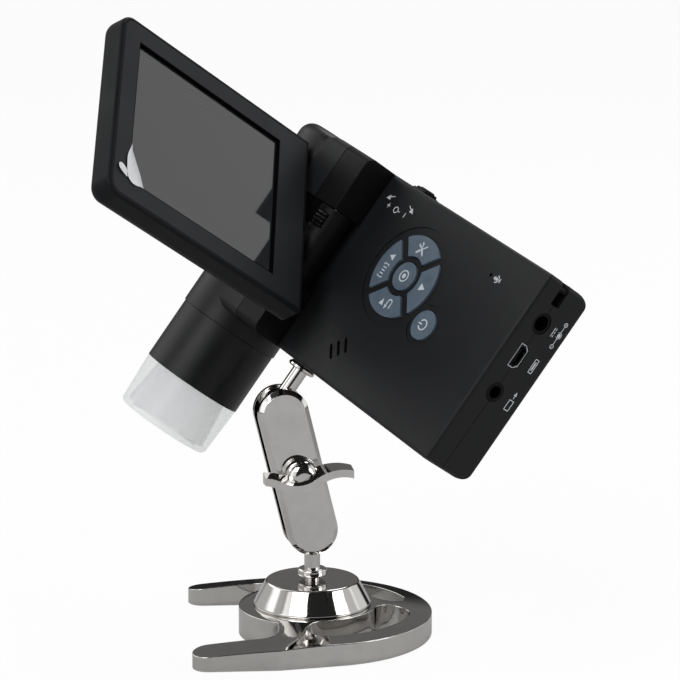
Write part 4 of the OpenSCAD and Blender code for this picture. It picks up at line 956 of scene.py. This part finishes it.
@dataclass
class Studio:
    """Pale floor, soft lamps, pale surroundings and the camera."""

    floor_size: float = 12.0
    camera_place: tuple[float, float, float] = (-0.05161, -0.87942, 0.26678)
    camera_aim: tuple[float, float, float] = (0.0672, 0.9789, -0.1928)
    focal_px: float = 2900.0
    image_px: float = 680.0
    sensor_mm: float = 36.0
    room_level: float = 0.02
    # each panel: its two edges and softness to the side, its two edges and softness upwards, in
    # degrees, and its brightness
    panel_places: tuple[tuple[tuple[float, ...], tuple[float, ...], float], ...] = (
        ((-140.0, -60.0, 24.0), (-8.0, 30.0, 10.0), 0.5),
        ((-66.0, -24.0, 8.0), (-8.0, 48.0, 10.0), 0.85),
        ((-150.0, -98.0, 12.0), (24.0, 60.0, 7.0), 1.25),
        ((66.0, 100.0, 10.0), (0.0, 50.0, 8.0), 0.62),
        ((106.0, 128.0, 8.0), (6.0, 34.0, 6.0), 0.78),
        ((150.0, 180.0, 12.0), (16.0, 60.0, 8.0), 0.12),
        ((-180.0, -160.0, 12.0), (16.0, 60.0, 8.0), 0.12),
    )

    def build(self) -> None:
        """Build the studio."""
        scene = bpy.context.scene
        scene.view_settings.view_transform = "Standard"
        self.floor()
        self.surroundings(scene)
        self.lamp("key_softbox", (-0.55, -0.75, 0.95), 0.7, 5.0)
        self.lamp("fill_softbox", (0.95, -0.45, 0.55), 0.5, 2.2)
        self.lamp("rim_softbox", (0.35, 0.8, 1.15), 0.5, 3.5)
        self.camera(scene)

    def floor(self) -> None:
        """Lay a pale floor that keeps the object's soft shadow."""
        mesh = bmesh.new()
        bmesh.ops.create_grid(mesh, x_segments=1, y_segments=1, size=self.floor_size / 2)
        bmesh.ops.translate(mesh, vec=(0, 0, -0.0002), verts=mesh.verts)
        data = bpy.data.meshes.new("studio_floor")
        mesh.to_mesh(data)
        mesh.free()
        floor = bpy.data.objects.new("studio_floor", data)
        bpy.context.scene.collection.objects.link(floor)
        data.materials.append(self.floor_paint())

    def floor_paint(self) -> bpy.types.Material:
        """Return matt white studio paint that shows as the pale backdrop to the camera."""
        made = bpy.data.materials.new("white_studio_paint")
        made.use_nodes = True
        tree = made.node_tree
        paint = tree.nodes["Principled BSDF"]
        paint.inputs["Roughness"].default_value = 0.9
        paint.inputs["Specular IOR Level"].default_value = 0.1
        path = add_node(tree, "ShaderNodeLightPath")
        seen = add_node(tree, "ShaderNodeMath", {"operation": "MAXIMUM"}, {
            0: path.outputs["Is Camera Ray"], 1: path.outputs["Is Transmission Ray"]}).outputs[0]
        colour = add_node(tree, "ShaderNodeMix", {"data_type": "RGBA"}, {
            "Factor": seen, 6: srgb("#c4c4c4"), 7: srgb("#ffffff")})
        tree.links.new(colour.outputs[2], paint.inputs["Base Color"])
        glow = add_node(tree, "ShaderNodeEmission", inputs={"Color": srgb("#ffffff"), "Strength": 1.0})
        share = add_node(tree, "ShaderNodeMath", {"operation": "MULTIPLY"}, {0: seen, 1: 0.93})
        mix = add_node(tree, "ShaderNodeMixShader", inputs={
            0: share.outputs[0], 1: paint.outputs[0], 2: glow.outputs[0]})
        tree.links.new(mix.outputs[0], tree.nodes["Material Output"].inputs["Surface"])
        return made

    def window(self, tree: bpy.types.NodeTree, value: bpy.types.NodeSocket, low: float,
               high: float, soft: float) -> bpy.types.NodeSocket:
        """Add a mask that is 1 between two values and fades out past them.

        Args:
            tree: the world's nodes.
            value: the value to mask by.
            low: where the mask has fully risen.
            high: where the mask starts to fall.
            soft: width of the rise and of the fall.

        Returns:
            The mask.
        """
        ends = []
        for start, stop in ((low - soft, low), (high + soft, high)):
            end = add_node(tree, "ShaderNodeMapRange", {"interpolation_type": "SMOOTHSTEP"}, {
                "Value": value, "From Min": start, "From Max": stop})
            ends.append(end.outputs["Result"])
        both = add_node(tree, "ShaderNodeMath", {"operation": "MULTIPLY"}, {0: ends[0], 1: ends[1]})
        return both.outputs[0]

    def panels(self, tree: bpy.types.NodeTree) -> bpy.types.NodeSocket:
        """Add the reflected studio: a dark room with a few pale panels round the object.

        Args:
            tree: the world's nodes.

        Returns:
            The brightness of the studio in every direction.
        """
        way = add_node(tree, "ShaderNodeTexCoord").outputs["Generated"]
        part = add_node(tree, "ShaderNodeSeparateXYZ", inputs={0: way}).outputs
        front = add_node(tree, "ShaderNodeMath", {"operation": "MULTIPLY"}, {0: part[1], 1: -1.0})
        # 0 in front of the object, positive to its right, in radians
        round_ = add_node(tree, "ShaderNodeMath", {"operation": "ARCTAN2"}, {
            0: part[0], 1: front.outputs[0]}).outputs[0]
        total: bpy.types.NodeSocket | float = self.room_level
        for sides, heights, level in self.panel_places:
            across = self.window(tree, round_, *(math.radians(a) for a in sides))
            upwards = self.window(tree, part[2], *(math.sin(math.radians(a)) for a in heights))
            mask = add_node(tree, "ShaderNodeMath", {"operation": "MULTIPLY"}, {
                0: across, 1: upwards})
            total = add_node(tree, "ShaderNodeMath", {"operation": "MULTIPLY_ADD"}, {
                0: mask.outputs[0], 1: level, 2: total}).outputs[0]
        return total

    def surroundings(self, scene: bpy.types.Scene) -> None:
        """Set a white background and, for reflections, a dark studio with pale panels."""
        world = bpy.data.worlds.new("studio")
        scene.world = world
        world.use_nodes = True
        tree = world.node_tree
        tree.nodes.clear()
        path = add_node(tree, "ShaderNodeLightPath")
        mirrored = add_node(tree, "ShaderNodeMath", {"operation": "MAXIMUM"}, {
            0: path.outputs["Is Glossy Ray"], 1: path.outputs["Is Transmission Ray"]})
        soft = add_node(tree, "ShaderNodeMix", {"data_type": "RGBA"}, {
            "Factor": mirrored.outputs[0], 6: srgb("#bcbcbc"), 7: self.panels(tree)})
        colour = add_node(tree, "ShaderNodeMix", {"data_type": "RGBA"}, {
            "Factor": path.outputs["Is Camera Ray"], 6: soft.outputs[2], 7: srgb("#ffffff")})
        light = add_node(tree, "ShaderNodeBackground", inputs={
            "Color": colour.outputs[2], "Strength": 1.0})
        add_node(tree, "ShaderNodeOutputWorld", inputs={"Surface": light.outputs[0]})

    def lamp(self, name: str, place: tuple[float, float, float], size: float, power: float) -> None:
        """Hang a soft square lamp that faces the object.

        Args:
            name: the lamp's name.
            place: its place in metres.
            size: side of the lamp in metres.
            power: its power in watts.
        """
        light = bpy.data.lights.new(name, "AREA")
        light.shape = "SQUARE"
        light.size = size
        light.energy = power
        lamp = bpy.data.objects.new(name, light)
        lamp.location = place
        lamp.rotation_mode = "QUATERNION"
        aim = Vector((0.0, 0.0, 0.1)) - Vector(place)
        lamp.rotation_quaternion = aim.to_track_quat("-Z", "Y")
        bpy.context.scene.collection.objects.link(lamp)

    def camera(self, scene: bpy.types.Scene) -> None:
        """Place the camera at table height in front of the stand."""
        data = bpy.data.cameras.new("camera")
        data.sensor_width = self.sensor_mm
        data.lens = self.focal_px / self.image_px * self.sensor_mm
        data.clip_start = 0.05
        data.clip_end = 50.0
        camera = bpy.data.objects.new("camera", data)
        camera.location = self.camera_place
        camera.rotation_mode = "QUATERNION"
        camera.rotation_quaternion = Vector(self.camera_aim).to_track_quat("-Z", "Y")
        scene.collection.objects.link(camera)
        scene.camera = camera


def main() -> None:
    """Build every sub-assembly in order."""
    logging.basicConfig(level=logging.INFO, format="%(name)s: %(message)s")
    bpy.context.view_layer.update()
    frames = HeadFrames()
    Studio().build()
    Stand().build()
    Head(frames.head).build()
    Keypad(frames.head).build()
    PanelPrint(frames.head).build()
    LensTube().build()
    Screen(frames.screen).build()
    bpy.context.view_layer.update()


if __name__ == "__main__":
    main()
